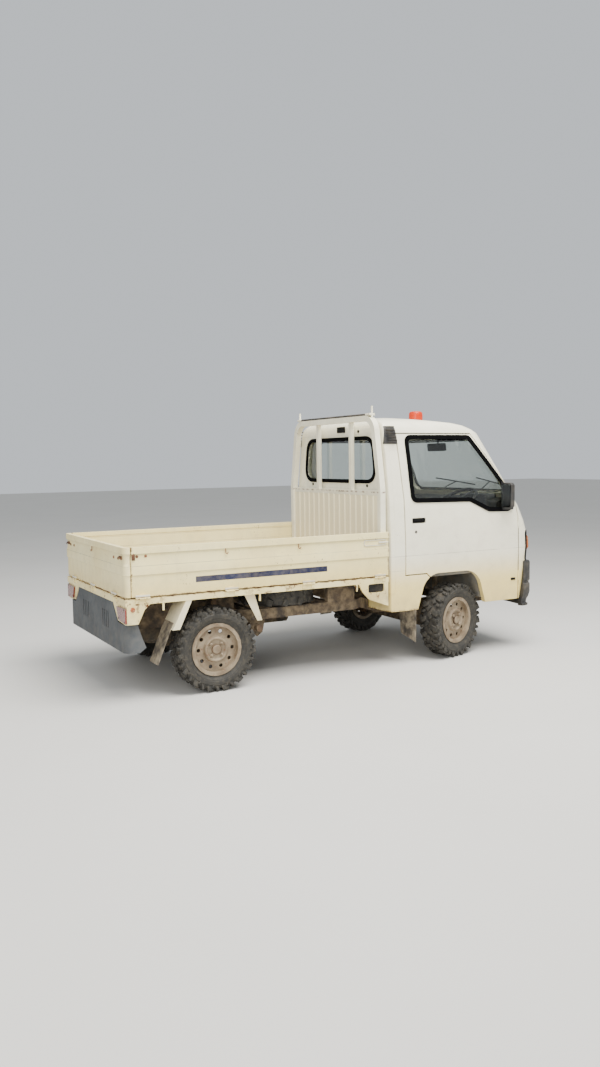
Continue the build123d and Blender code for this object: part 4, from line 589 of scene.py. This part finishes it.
def softened(name, bevel):
    """Copy of a CAD node with rounded edges and smooth facets, shown in place of the node."""
    mesh = bmesh.new()
    mesh.from_mesh(nodes[name].data)
    bmesh.ops.remove_doubles(mesh, verts=mesh.verts, dist=2e-5)
    bmesh.ops.dissolve_limit(
        mesh, angle_limit=math.radians(0.5), verts=mesh.verts, edges=mesh.edges
    )
    sharp = [
        e for e in mesh.edges
        if len(e.link_faces) == 2
        and e.calc_face_angle() > math.radians(SHARP_ANGLE)
        and e.calc_length() > 2.5 * bevel
    ]
    bmesh.ops.bevel(
        mesh, geom=sharp, offset=bevel, segments=2, affect="EDGES", profile=0.6,
        clamp_overlap=False,
    )
    slot = node_slots[name]
    piece = finished(name + "_soft", mesh, node_body[name], looks[slot], SHARP_ANGLE, True)
    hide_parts(name)


# Nodes shown with rounded edges. Columns: width of the rounding, names
SOFTENED = (
    (0.0015, (
        "cab_front", "cab_side_right", "cab_side_left", "cab_back", "cab_roof", "door_right",
        "door_left", "guard_frame", "side_gate_right", "side_gate_left", "tail_gate",
    )),
    (0.007, ("mirror_right", "mirror_left")),
    (0.002, (
        "pillar_vents", "rear_cover", "engine", "fuel_tank", "dashboard", "spare_wheel",
        "steering_wheel",
    )),
)
for bevel, names in SOFTENED:
    for name in names:
        softened(name, bevel)

# Wheels, each in its own frame with the outer face towards +Y
STEER = math.radians(15.7)
AXLE_Z = 0.270
KINGPIN_Y = 0.545
HUB_OFFSET = 0.060
# Columns: name, axle, side, steering angle
WHEELS = (
    ("front_right", 0.8435, -1, STEER),
    ("front_left", 0.8435, 1, STEER),
    ("rear_right", -1.0415, -1, 0),
    ("rear_left", -1.0415, 1, 0),
)
# Section of the tyre from the inner bead over the tread to the outer bead: radius, place across
TYRE_SECTION = (
    (0.1545, -0.050), (0.158, -0.0562), (0.172, -0.0565), (0.184, -0.063), (0.196, -0.0705),
    (0.199, -0.0700), (0.202, -0.0735), (0.215, -0.0765), (0.226, -0.0762), (0.229, -0.0735),
    (0.238, -0.0715), (0.247, -0.0670), (0.253, -0.0600), (0.2555, -0.050), (0.2560, -0.030),
)
TYRE_SIDES = 90
# Radius above which the tyre's body shows as the grooves between the lugs, painted darker there
# as the shade between them
GROOVE_FLOOR = 0.247
TREAD_COUNT = 15
TREAD_RADIUS = 0.2600
LUG_HEIGHT = 0.0190
# Degrees by which the blocks down the shoulder lean with the side wall
SHOULDER_LEAN = 14
# Radii at which the blocks' places around are measured
AROUND_TREAD = 0.262
AROUND_SHOULDER = 0.250
# Blocks of the tread. Columns: place across, place around, size around and across, slant
TREAD_BLOCKS = (
    (0.0475, 0.000, (0.034, 0.052), 22),
    (0.0130, 0.024, (0.040, 0.026), -34),
    (0.0560, 0.050, (0.018, 0.030), 26),
)
# Blocks down the shoulder. Columns: place around, radius, place across, size, turn in the wall
SHOULDER_BLOCKS = (
    (-0.012, 0.2430, 0.0715, (0.032, 0.011, 0.044), 16),
    (0.014, 0.2280, 0.0740, (0.010, 0.007, 0.036), -34),
    (0.044, 0.2440, 0.0715, (0.018, 0.010, 0.036), 20),
)
WHEEL_RING = (
    (0.088, 0.034), (0.083, 0.0420), (0.080, 0.0520), (0.077, 0.0565), (0.072, 0.0585),
    (0.067, 0.0575), (0.062, 0.0530), (0.058, 0.0480), (0.052, 0.0468), (0.034, 0.0466),
)
HUB_CAP = ((0.031, 0.044), (0.030, 0.058), (0.024, 0.064), (0.010, 0.066))
NUT = ((0.0115, 0.047), (0.0115, 0.058), (0.0075, 0.061), (0.0050, 0.066), (0.004, 0.067))
NUT_CIRCLE = 0.050


def wheel_matrix(x, side, steer):
    """From a wheel's own frame to the truck's."""
    kingpin = Matrix.Translation((x, side * KINGPIN_Y, AXLE_Z)) @ Matrix.Rotation(steer, 4, "Z")
    hub = Matrix.Translation((0, side * HUB_OFFSET, 0))
    return kingpin @ hub @ Matrix.Rotation(0 if side > 0 else math.pi, 4, "Z")


def rolled(angle):
    """Turn about the wheel's axle."""
    return Matrix.Rotation(angle, 4, "Y")


def tyre_piece(name, matrix):
    """Chunky tyre: ringed side walls, two rows of slanted lugs that run down over the shoulders."""
    kit = Kit()
    section = [*TYRE_SECTION, (0.2560, 0.0)] + [(r, -y) for r, y in reversed(TYRE_SECTION)]
    section += [(0.1545, 0.02), (0.1545, -0.02)]
    angles = [2 * math.pi * step / TYRE_SIDES for step in range(TYRE_SIDES)]
    rings = [kit.ring((r * math.cos(a), y, r * math.sin(a)) for r, y in section) for a in angles]
    for number, face in enumerate(kit.skin(rings, closed=True)):
        index = number % len(section)
        # The groove floors get the second, darker rubber as painted shade
        if min(section[index][0], section[(index + 1) % len(section)][0]) > GROOVE_FLOOR:
            face.material_index = 1
    for row in (-1, 1):
        lean = Matrix.Rotation(math.radians(SHOULDER_LEAN * row), 4, "X")
        for step in range(TREAD_COUNT):
            spin = rolled(2 * math.pi * (step + (0.5 if row > 0 else 0)) / TREAD_COUNT)
            for y, around, size, slant in TREAD_BLOCKS:
                place = spin @ rolled(around / AROUND_TREAD)
                kit.box(
                    place @ Vector((0, row * y, -TREAD_RADIUS)), (*size, LUG_HEIGHT), 0.0028,
                    place @ Matrix.Rotation(math.radians(slant * row), 4, "Z"),
                )
            for around, radius, y, size, slant in SHOULDER_BLOCKS:
                place = spin @ rolled(around / AROUND_SHOULDER)
                kit.box(
                    place @ Vector((0, row * y, -radius)), size, 0.0025,
                    place @ lean @ rolled(math.radians(slant * row)),
                )
    bmesh.ops.transform(kit.mesh, matrix=matrix, verts=kit.mesh.verts)
    piece = kit.make("tyre_tread_" + name, "wheel_" + name, looks["tyre_rubber"], 35)
    piece.data.materials.append(GROOVE_SHADE)
    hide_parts("tyre_" + name)


def rim_trim(name, matrix):
    """Raised ring, hub cap and four nuts in the middle of a wheel."""
    kit = Kit()
    kit.lathe((0, 0, 0), (0, 1, 0), WHEEL_RING, 48)
    kit.lathe((0, 0, 0), (0, 1, 0), HUB_CAP, 28)
    for step in range(4):
        angle = math.pi / 4 + step * math.pi / 2
        place = (NUT_CIRCLE * math.cos(angle), 0.0, NUT_CIRCLE * math.sin(angle))
        kit.lathe(place, (0, 1, 0), NUT, 6)
    bmesh.ops.transform(kit.mesh, matrix=matrix, verts=kit.mesh.verts)
    piece = kit.make("wheel_centre_" + name, "wheel_" + name, looks["wheel_paint"], 35)


for name, x, side, steer in WHEELS:
    matrix = wheel_matrix(x, side, steer)
    tyre_piece(name, matrix)
    rim_trim(name, matrix)
    softened("rim_" + name, 0.0012)

# Window seals
DOOR_WINDOW = spaced(rounded(
    [
        (0.4715, 1.158), (0.4585, 1.614), (1.0215, 1.614), (1.3715, 1.196), (1.3715, 1.064),
        (1.1595, 1.070), (0.9845, 1.150),
    ],
    0.045,
), 0.05)
REAR_WINDOW = spaced(rounded(
    [(-0.512, 1.295), (-0.467, 1.612), (0.467, 1.612), (0.512, 1.295)], 0.105, 10
), 0.06)
SCREEN = spaced(rounded(
    [(-0.588, 1.187), (-0.492, 1.610), (0.492, 1.610), (0.588, 1.187)], 0.07, 8
), 0.06)
REAR_SKIN_X = 0.2755


def on_front(point):
    """Place of a point in front view, just under the skin of the cab's front."""
    row, share, (half, front, _) = skin_at(point.y)
    bulge = NOSE_BULGE + 0.02 * share if row > 5 else 0.077
    return Vector((front + bulge * (1 - (point.x / half) ** 2) - 0.002, point.x, point.y))


def seal(name, body, outline, inward, place, lift):
    """Rubber band over the edge of a window, laid where the place function says."""
    kit = Kit()
    inner = [place(p) for p in grown(outline, -inward)]
    outer = [place(p) for p in grown(outline, 0.012)]
    kit.band(inner, outer, lift)
    kit.make(name, body, RUBBER, 50)


for side, word in SIDES:
    seal(
        "window_seal_" + word, word + "_door", DOOR_WINDOW, 0.020,
        lambda p: on_side(p, -0.003, side), (0, side * 0.009, 0),
    )
seal(
    "rear_window_seal", "chassis", REAR_WINDOW, 0.016,
    lambda p: Vector((REAR_SKIN_X, p.x, p.y)), (-0.008, 0, 0),
)
seal("windscreen_seal", "chassis", SCREEN, 0.022, on_front, (0.008, 0, 0.003))

# Beacon with an orange dome over a dark base
BEACON_X = 0.9915
BEACON_DOME = (
    (0.058, 1.716), (0.058, 1.740), (0.0545, 1.742), (0.054, 1.800), (0.052, 1.815),
    (0.046, 1.825), (0.034, 1.829), (0.012, 1.8305),
)
BEACON_FOOT = ((0.0605, 1.714), (0.0605, 1.734), (0.057, 1.738))
kit = Kit()
kit.lathe((BEACON_X, 0, 0), (0, 0, 1), BEACON_DOME, 40)
piece = kit.make("beacon_dome", "chassis", looks["beacon_lens"], 35)
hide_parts("beacon")
kit = Kit()
kit.lathe((BEACON_X, 0, 0), (0, 0, 1), BEACON_FOOT, 40)
kit.make("beacon_base", "chassis", BLACK, 35)


def plan_corner(half, radius, bow, base):
    """Corner of a bowed front: lean of the bow there, its distance and the arc's middle.

    The plan is given by its half width, corner radius, bow and the place of the bow's ends."""
    lean = 2 * bow * (half - radius) / half**2
    edge = half - radius + radius * math.sin(lean)
    return lean, edge, base + bow * (1 - (edge / half) ** 2) - radius * math.cos(lean)


def plan_point(s, out, half, radius, bow, base):
    """Place ahead and aside at a distance along the plan from its middle, raised by out."""
    lean, edge, middle = plan_corner(half, radius, bow, base)
    if s <= edge:
        tilt = Vector((1, 2 * bow * s / half**2)).normalized() * out
        return base + bow * (1 - (s / half) ** 2) + tilt.x, s + tilt.y
    turn = lean + (s - edge) / radius
    if turn < math.pi / 2:
        reach = radius + out
        return middle + reach * math.cos(turn), half - radius + reach * math.sin(turn)
    return middle - (turn - math.pi / 2) * radius, half + out


def nose(along, z, out, side):
    """Place over the skin of the cab's front, by the distance along its plan from the middle."""
    half, front, radius = skin_at(z)[2]
    x, y = plan_point(abs(along), out, half, radius, NOSE_BULGE, front)
    return Vector((x, side * y if along >= 0 else -side * y, z))


# Headlamp frames and indicators
LAMP_FRAME = spaced(rounded(
    [(0.398, 0.684), (0.398, 0.888), (0.694, 0.888), (0.694, 0.684)], 0.02, 3
), 0.02)
kit = Kit()
for side, _ in SIDES:
    inner = [nose(p.x, p.y, -0.004, side) for p in grown(LAMP_FRAME, -0.012)]
    outer = [nose(p.x, p.y, -0.004, side) for p in grown(LAMP_FRAME, 0.014)]
    lifts = [nose(p.x, p.y, 0.006, side) - nose(p.x, p.y, -0.004, side) for p in LAMP_FRAME]
    kit.band(inner, outer, lifts)
kit.make("headlamp_frames", "chassis", BLACK, 50)

INDICATOR_ALONG = [0.640 + 0.006 * step for step in range(7)]
# Rows of the indicator's face. Columns: height, rise above the skin
INDICATOR_ROWS = ((0.757, 0.006), (0.774, 0.016), (0.810, 0.016), (0.846, 0.016), (0.864, 0.006))


def rim_of(sheet):
    """Loop of vertices round the edge of a sheet's rows."""
    middle = sheet[1:-1]
    right, left = [row[-1] for row in middle], [row[0] for row in middle]
    return sheet[0] + right + sheet[-1][::-1] + left[::-1]


kit = Kit()
for side, _ in SIDES:
    face = [kit.ring(nose(s, z, rise, side) for s in INDICATOR_ALONG) for z, rise in INDICATOR_ROWS]
    back = [kit.ring(nose(s, z, -0.004, side) for s in INDICATOR_ALONG) for z, _ in INDICATOR_ROWS]
    for sheet in (face, back):
        for a, b in zip(sheet, sheet[1:]):
            for i in range(len(a) - 1):
                quad = (a[i], a[i + 1], b[i + 1], b[i])
                kit.mesh.faces.new(quad if sheet is face else quad[::-1])
    kit.skin([rim_of(face), rim_of(back)])
kit.make("indicators_front", "chassis", AMBER, 40)

# Front bumper: a skin swept round the nose, with a lip along its foot. Columns: out, height
BUMPER_PROFILE = (
    (-0.020, 0.671), (-0.004, 0.668), (0.002, 0.655), (0.002, 0.520), (-0.006, 0.512),
    (-0.006, 0.498), (0.002, 0.490), (0.002, 0.430), (-0.008, 0.395), (-0.022, 0.368),
    (-0.026, 0.345), (-0.012, 0.336), (-0.014, 0.322), (-0.060, 0.320), (-0.050, 0.400),
    (-0.035, 0.500), (-0.035, 0.660),
)
# Half width, corner radius, bow and place of the ends of the bow
BUMPER_PLAN = (0.6935, 0.062, 0.072, 1.5755)
BUMPER_END = 1.4900
BUMPER_STEPS = 40
# Shares of the way round where the corners get closer rings
BUMPER_EXTRA = (0.02, 0.06, 0.08, 0.09, 0.11, 0.12, 0.88, 0.89, 0.91, 0.92, 0.94, 0.98)


def bumper_length():
    """Distance round one half of the bumper, from the middle to its end."""
    lean, edge, middle = plan_corner(*BUMPER_PLAN)
    return edge + (math.pi / 2 - lean) * BUMPER_PLAN[1] + middle - BUMPER_END


def bumper_point(t, out, z):
    """Place round the bumper, from the right-hand end to the left-hand end."""
    x, y = plan_point(abs(2 * t - 1) * bumper_length(), out, *BUMPER_PLAN)
    return Vector((x, y if t >= 0.5 else -y, z))


kit = Kit()
shares = {round(i / BUMPER_STEPS, 4) for i in range(BUMPER_STEPS + 1)} | set(BUMPER_EXTRA)
kit.capped([
    kit.ring(bumper_point(t, out, z) for out, z in BUMPER_PROFILE) for t in sorted(shares)
])
piece = kit.make("bumper_shell", "chassis", looks["bumper_plastic"], 38)
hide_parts("front_bumper")

# Profiles of small round things. Columns: radius, height
LOCK = ((0.0105, 0.0), (0.0105, 0.0035), (0.0075, 0.005), (0.003, 0.0045))
PLUG = ((0.011, 0), (0.011, 0.004), (0.008, 0.006), (0.003, 0.0065))
PIVOT = ((0.011, -0.012), (0.011, 0.004), (0.006, 0.008))
RIVET = ((0.009, 0), (0.009, 0.004), (0.0055, 0.0075), (0.003, 0.008))
MARKER = ((0.015, 0), (0.015, 0.004), (0.010, 0.007), (0.003, 0.008))
SCREW = ((0.006, 0), (0.006, 0.002), (0.003, 0.003))

# Slots in the cab's sides, and dark backs behind the skirts' windows, painted shade seen
# through them
SKIRT_INNER = 0.6700
SKIRT_WINDOW = (0.1555, 0.567)
kit = Kit(both=True)
kit.box((1.389, -0.6905, 0.540), (0.044, 0.006, 0.018), 0.003)
kit.make("side_slots", "chassis", BLACK)
kit = Kit(both=True)
x, z = SKIRT_WINDOW
kit.box((x, 0.0015 - SKIRT_INNER, z), (0.146, 0.003, 0.075), 0.001)
kit.box((x, 0.0045 - SKIRT_INNER, z), (0.120, 0.003, 0.050), 0.001)
kit.make("skirt_window_shade", "chassis", SHADE_BLACK)

# Handles, locks and mirror glass of the doors
HANDLE = rounded([(0.463, 1.003), (0.463, 1.036), (0.577, 1.036), (0.577, 1.003)], 0.006, 3)
MIRROR_X = 1.2695
for side, word in SIDES:
    body = word + "_door"
    kit = Kit()
    kit.plate([Vector((p.x, side * 0.6745, p.y)) for p in HANDLE], (0, side * 0.003, 0))
    kit.box((0.520, side * 0.6810, 1.0285), (0.104, 0.008, 0.014), 0.003)
    kit.box((0.520, side * 0.6845, 1.0225), (0.096, 0.004, 0.006), 0.002)
    kit.make("door_handle_" + word, body, BLACK)
    kit = Kit()
    kit.lathe((0.491, side * 0.6855, 0.940), (0, side, 0), LOCK, 20)
    kit.make("door_lock_" + word, body, STEEL)
    kit = Kit()
    corners = ((0.698, 1.090), (0.698, 1.262), (0.792, 1.262), (0.792, 1.090))
    face = rounded([(side * y, z) for y, z in corners], 0.018, 4)
    kit.plate([Vector((MIRROR_X, p.x, p.y)) for p in face], (-0.0015, 0, 0))
    kit.make("mirror_face_" + word, body, MIRROR_FACE)

# Louvres in the near-black of painted shade, rear lamp block and plugs, cabin mirror and
# wipers
kit = Kit(both=True)
for step in range(5):
    kit.box(
        (0.333 - step * 0.002, -0.6185 + step * 0.0062 - 0.0115, 1.588 + step * 0.0235),
        (0.078, 0.008, 0.008), 0.002, Matrix.Rotation(0.5, 4, "X"),
    )
kit.make("vent_louvres", "chassis", SHADE_BLACK)

kit = Kit()
kit.box((0.2700, -0.045, 1.6790), (0.010, 0.108, 0.044), 0.004)
kit.make("rear_lamp_block", "chassis", BLACK)
kit = Kit(both=True)
for y, z in ((0.395, 1.267), (0.280, 1.660)):
    kit.lathe((0.2745, y, z), (-1, 0, 0), PLUG, 16)
kit.make("rear_plugs", "chassis", BLACK)

kit = Kit()
kit.tube([(1.235, 0, 1.618), (1.222, 0, 1.602), (1.205, 0, 1.575)], 0.006, 10)
kit.box((1.196, 0.0, 1.546), (0.026, 0.225, 0.064), 0.012, Matrix.Rotation(-0.12, 4, "Y"))
kit.make("cabin_mirror", "chassis", BLACK)

# Columns: foot along the nose, then the blade's ends, each along the nose and its height
WIPERS = ((0.36, (-0.16, 1.243), (0.30, 1.292)), (-0.14, (-0.54, 1.250), (-0.22, 1.300)))
WIPER_FOOT = 1.178
BLADE_STEPS = 8
kit = Kit()
for foot, low, high in WIPERS:
    start = nose(foot, WIPER_FOOT, 0.016, 1)
    reach = nose((low[0] + high[0]) / 2, (low[1] + high[1]) / 2, 0.014, 1)
    kit.lathe(start - Vector((0.004, 0, 0.004)), (0.8, 0, 0.6), PIVOT, 14)
    kit.tube([start, start.lerp(reach, 0.5) + Vector((0.006, 0, 0.006)), reach], 0.0045)
    blade = []
    for i in range(BLADE_STEPS + 1):
        along, z = (a + (b - a) * i / BLADE_STEPS for a, b in zip(low, high))
        blade.append(nose(along, z, 0.006, 1))
    kit.tube(blade, 0.005)
kit.make("wipers", "chassis", BLACK)

# Fittings of the side gates: hinge covers, hooks, rivets, latches and a plain stripe
HINGES = (-1.5275, -0.9415, -0.3835, 0.1845)
HINGE_Z = 0.6560
# Line of a hook. Columns: along the gate, distance from the middle, height
HOOK = (
    (0.0, 0.6885, 0.912), (0.0, 0.6885, 0.892), (0.002, 0.690, 0.882), (0.008, 0.692, 0.877),
    (0.014, 0.692, 0.883), (0.015, 0.692, 0.890),
)
LATCH = rounded([(0.056, 0.862), (0.056, 0.905), (0.236, 0.905), (0.236, 0.862)], 0.016, 4)
STRIPE_LINE = ((-1.180, 0.712), (-1.180, 0.748), (-0.236, 0.748), (-0.236, 0.712))
for side, word in SIDES:
    body = word + "_gate"
    kit = Kit()
    for x in HINGES:
        kit.box((x, side * 0.6880, HINGE_Z), (0.092, 0.011, 0.012), 0.003)
    kit.make("hinge_covers_" + word, body, FITTING)

    kit = Kit()
    for x in (-0.978, -0.456):
        kit.tube([(x + along, side * y, z) for along, y, z in HOOK], 0.0030)
    for x in (-1.500, -1.555):
        kit.lathe((x, side * 0.6800, 0.896), (0, side, 0), RIVET, 12)
    kit.box((-1.578, side * 0.6845, 0.895), (0.020, 0.006, 0.044), 0.002)
    bar = ((-1.578, 0.688, 0.915), (-1.584, 0.6925, 0.900), (-1.582, 0.6925, 0.878))
    kit.tube([(x, side * y, z) for x, y, z in bar], 0.0035)
    kit.make("rusty_fittings_" + word, body, RUSTY)

    kit = Kit()
    inner = [Vector((p.x, side * 0.6805, p.y)) for p in grown(LATCH, -0.006)]
    outer = [Vector((p.x, side * 0.6805, p.y)) for p in LATCH]
    kit.band(inner, outer, (0, side * 0.006, 0))
    kit.box((0.200, side * 0.6865, 0.884), (0.052, 0.009, 0.014), 0.003)
    bar = ((0.222, 0.690), (0.238, 0.692), (0.250, 0.6925))
    kit.tube([(x, side * y, 0.884) for x, y in bar], 0.004)
    kit.make("gate_latch_" + word, body, FITTING)

    kit = Kit()
    kit.plate([Vector((x, side * 0.6813, z)) for x, z in STRIPE_LINE], (0, side * 0.0008, 0))
    kit.make("plain_stripe_" + word, body, STRIPE)

# Fittings of the tail gate
kit = Kit()
for y in (-0.465, 0.0, 0.465):
    kit.box((-1.6380, y, HINGE_Z), (0.011, 0.092, 0.012), 0.003)
kit.make("hinge_covers_tail", "rear_gate", FITTING)

kit = Kit()
kit.tube(
    [
        (-1.6385, -0.005, 0.912), (-1.6385, -0.005, 0.892), (-1.640, -0.002, 0.882),
        (-1.642, 0.005, 0.879), (-1.642, 0.010, 0.888),
    ],
    0.0030,
)
for y in (-0.560, 0.560, -0.470, 0.470):
    kit.lathe((-1.6300, y, 0.880), (-1, 0, 0), RIVET, 12)
for side, _ in SIDES:
    kit.box((-1.6345, side * 0.615, 0.888), (0.006, 0.050, 0.020), 0.002)
    bar = ((-1.638, 0.590, 0.893), (-1.6425, 0.625, 0.890), (-1.6425, 0.645, 0.880))
    kit.tube([(x, side * y, z) for x, y, z in bar], 0.0035)
kit.make("rusty_fittings_tail", "rear_gate", RUSTY)

# Side markers and screws near the tail lamps, and the painted ends of the guard's pad
kit = Kit(both=True)
kit.lathe((-1.591, -0.6835, 0.576), (0, -1, 0), MARKER, 20)
kit.make("side_markers", "chassis", AMBER)
kit = Kit(both=True)
for y, z in ((-0.655, 0.500), (-0.655, 0.575), (-0.540, 0.512)):
    kit.lathe((-1.6365, y, z), (-1, 0, 0), SCREW, 10)
kit.make("tail_lamp_screws", "chassis", STEEL)
kit = Kit(both=True)
kit.box((0.2330, -0.500, 1.7715), (0.046, 0.060, 0.016), 0.004)
kit.make("pad_ends", "chassis", looks["guard_paint"])

# Seats: padded cushions, blown up a little by a cloth simulation
SEAT_BACK_X = 0.348
SEAT_BASE_Z = 0.6303
SEAT_Y = 0.300
SEAT_HALF = 0.235
PAD_INSET = 0.014
PAD_ROUNDING = 0.022
PAD_SQUARES = 0.0105
PAD_CAP = 0.022
CLOTH_FRAMES = 20
CUSHION = ((0.150, 0.0), (0.670, 0.0), (0.690, 0.150), (0.150, 0.125))
BACKREST = ((0.045, 0.0), (0.148, 0.0), (0.100, 0.655), (0.0, 0.655))


def pad(name, outline, middle):
    """Closed prism a little inside the solid's form, remeshed to even squares."""
    kit = Kit()
    form = [(SEAT_BACK_X + x, SEAT_BASE_Z + z) for x, z in outline]
    line = grown(rounded(form, PAD_ROUNDING, 3), -PAD_INSET)
    half = SEAT_HALF - PAD_INSET
    kit.plate([Vector((p.x, middle - half, p.y)) for p in line], (0, 2 * half, 0))
    piece = kit.make(name, "chassis", looks["seat_cloth"], 60)
    squares = piece.modifiers.new("squares", "REMESH")
    squares.mode = "VOXEL"
    squares.voxel_size = PAD_SQUARES
    view = bpy.context.evaluated_depsgraph_get()
    data = bpy.data.meshes.new_from_object(piece.evaluated_get(view))
    piece.modifiers.remove(squares)
    piece.data = data
    return piece


def blown(pieces):
    """Cloth with pressure and no gravity, its reach capped, applied to each piece's mesh."""
    starts = []
    for piece in pieces:
        starts.append([v.co.copy() for v in piece.data.vertices])
        cloth = piece.modifiers.new("cloth", "CLOTH")
        cloth.settings.use_pressure = True
        cloth.settings.uniform_pressure_force = 4
        cloth.settings.effector_weights.gravity = 0
        cloth.settings.quality = 4
    for step in range(1, CLOTH_FRAMES + 1):
        bpy.context.scene.frame_set(step)
    view = bpy.context.evaluated_depsgraph_get()
    for piece, start in zip(pieces, starts):
        moved = [v.co.copy() for v in piece.evaluated_get(view).data.vertices]
        piece.modifiers.remove(piece.modifiers["cloth"])
        for vertex, old, new in zip(piece.data.vertices, start, moved):
            reach = new - old
            if reach.length > PAD_CAP:
                reach *= PAD_CAP / reach.length
            vertex.co = old + reach
            vertex.co.z = max(vertex.co.z, SEAT_BASE_Z)
    bpy.context.scene.frame_set(1)


pads = []
for side, word in SIDES:
    pads.append(pad("seat_cushion_" + word, CUSHION, side * SEAT_Y))
    pads.append(pad("seat_backrest_" + word, BACKREST, side * SEAT_Y))
blown(pads)
for piece in pads:
    for face in piece.data.polygons:
        face.use_smooth = True
    piece.modifiers.new("smooth", "SUBSURF").render_levels = 1
    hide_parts("seats")


# Floor, light and camera
FLOOR_SIZE = 40
SKY_STRENGTH = 0.90
LENS_LENGTH = 53.58
CAMERA_PLACE = (-3.2413, -5.8180, 1.4568)
floor = bmesh.new()
bmesh.ops.create_grid(floor, x_segments=1, y_segments=1, size=FLOOR_SIZE)
data = bpy.data.meshes.new("floor")
floor.to_mesh(data)
floor.free()
ground = bpy.data.objects.new("floor", data)
bpy.context.scene.collection.objects.link(ground)
pale = Shader("floor_pale", Roughness=0.9)
tone = pale.mix(pale.noise(0.7, 4), rgb(196, 194, 188), rgb(206, 204, 199))
data.materials.append(pale.finish(tone))

world = bpy.data.worlds.new("soft_sky")
bpy.context.scene.world = world
world.use_nodes = True
sky = world.node_tree.nodes["Background"]
sky.inputs["Color"].default_value = rgb(226, 231, 236)
sky.inputs["Strength"].default_value = SKY_STRENGTH


def soft_light(name, place, target, size, power, colour):
    """Round area lamp turned towards a target."""
    lamp = bpy.data.lights.new(name, "AREA")
    lamp.shape = "DISK"
    lamp.size = size
    lamp.energy = power
    lamp.color = colour
    shown = bpy.data.objects.new(name, lamp)
    shown.location = place
    shown.rotation_euler = (Vector(target) - Vector(place)).to_track_quat("-Z", "Y").to_euler()
    bpy.context.scene.collection.objects.link(shown)


soft_light("sky_light", (0.5, -2.6, 6.8), (0, 0, 0.6), 5.5, 1300, (1.0, 0.98, 0.95))
soft_light("side_light", (-5.5, -6.5, 3.4), (0, 0, 0.9), 4.0, 330, (1.0, 0.99, 0.97))

camera = bpy.data.cameras.new("camera")
camera.lens = LENS_LENGTH
camera.sensor_width = 36.0
camera.sensor_fit = "HORIZONTAL"
seen = bpy.data.objects.new("camera", camera)
right, up, ahead = (
    Vector((0.877301, -0.479737, -0.013952)),
    Vector((0.051409, 0.065031, 0.996558)),
    Vector((0.477179, 0.874999, -0.081714)),
)
seen.matrix_world = Matrix.Translation(CAMERA_PLACE) @ Matrix(
    (
        (right.x, up.x, -ahead.x, 0),
        (right.y, up.y, -ahead.y, 0),
        (right.z, up.z, -ahead.z, 0),
        (0, 0, 0, 1),
    )
)
bpy.context.scene.collection.objects.link(seen)
bpy.context.scene.camera = seen
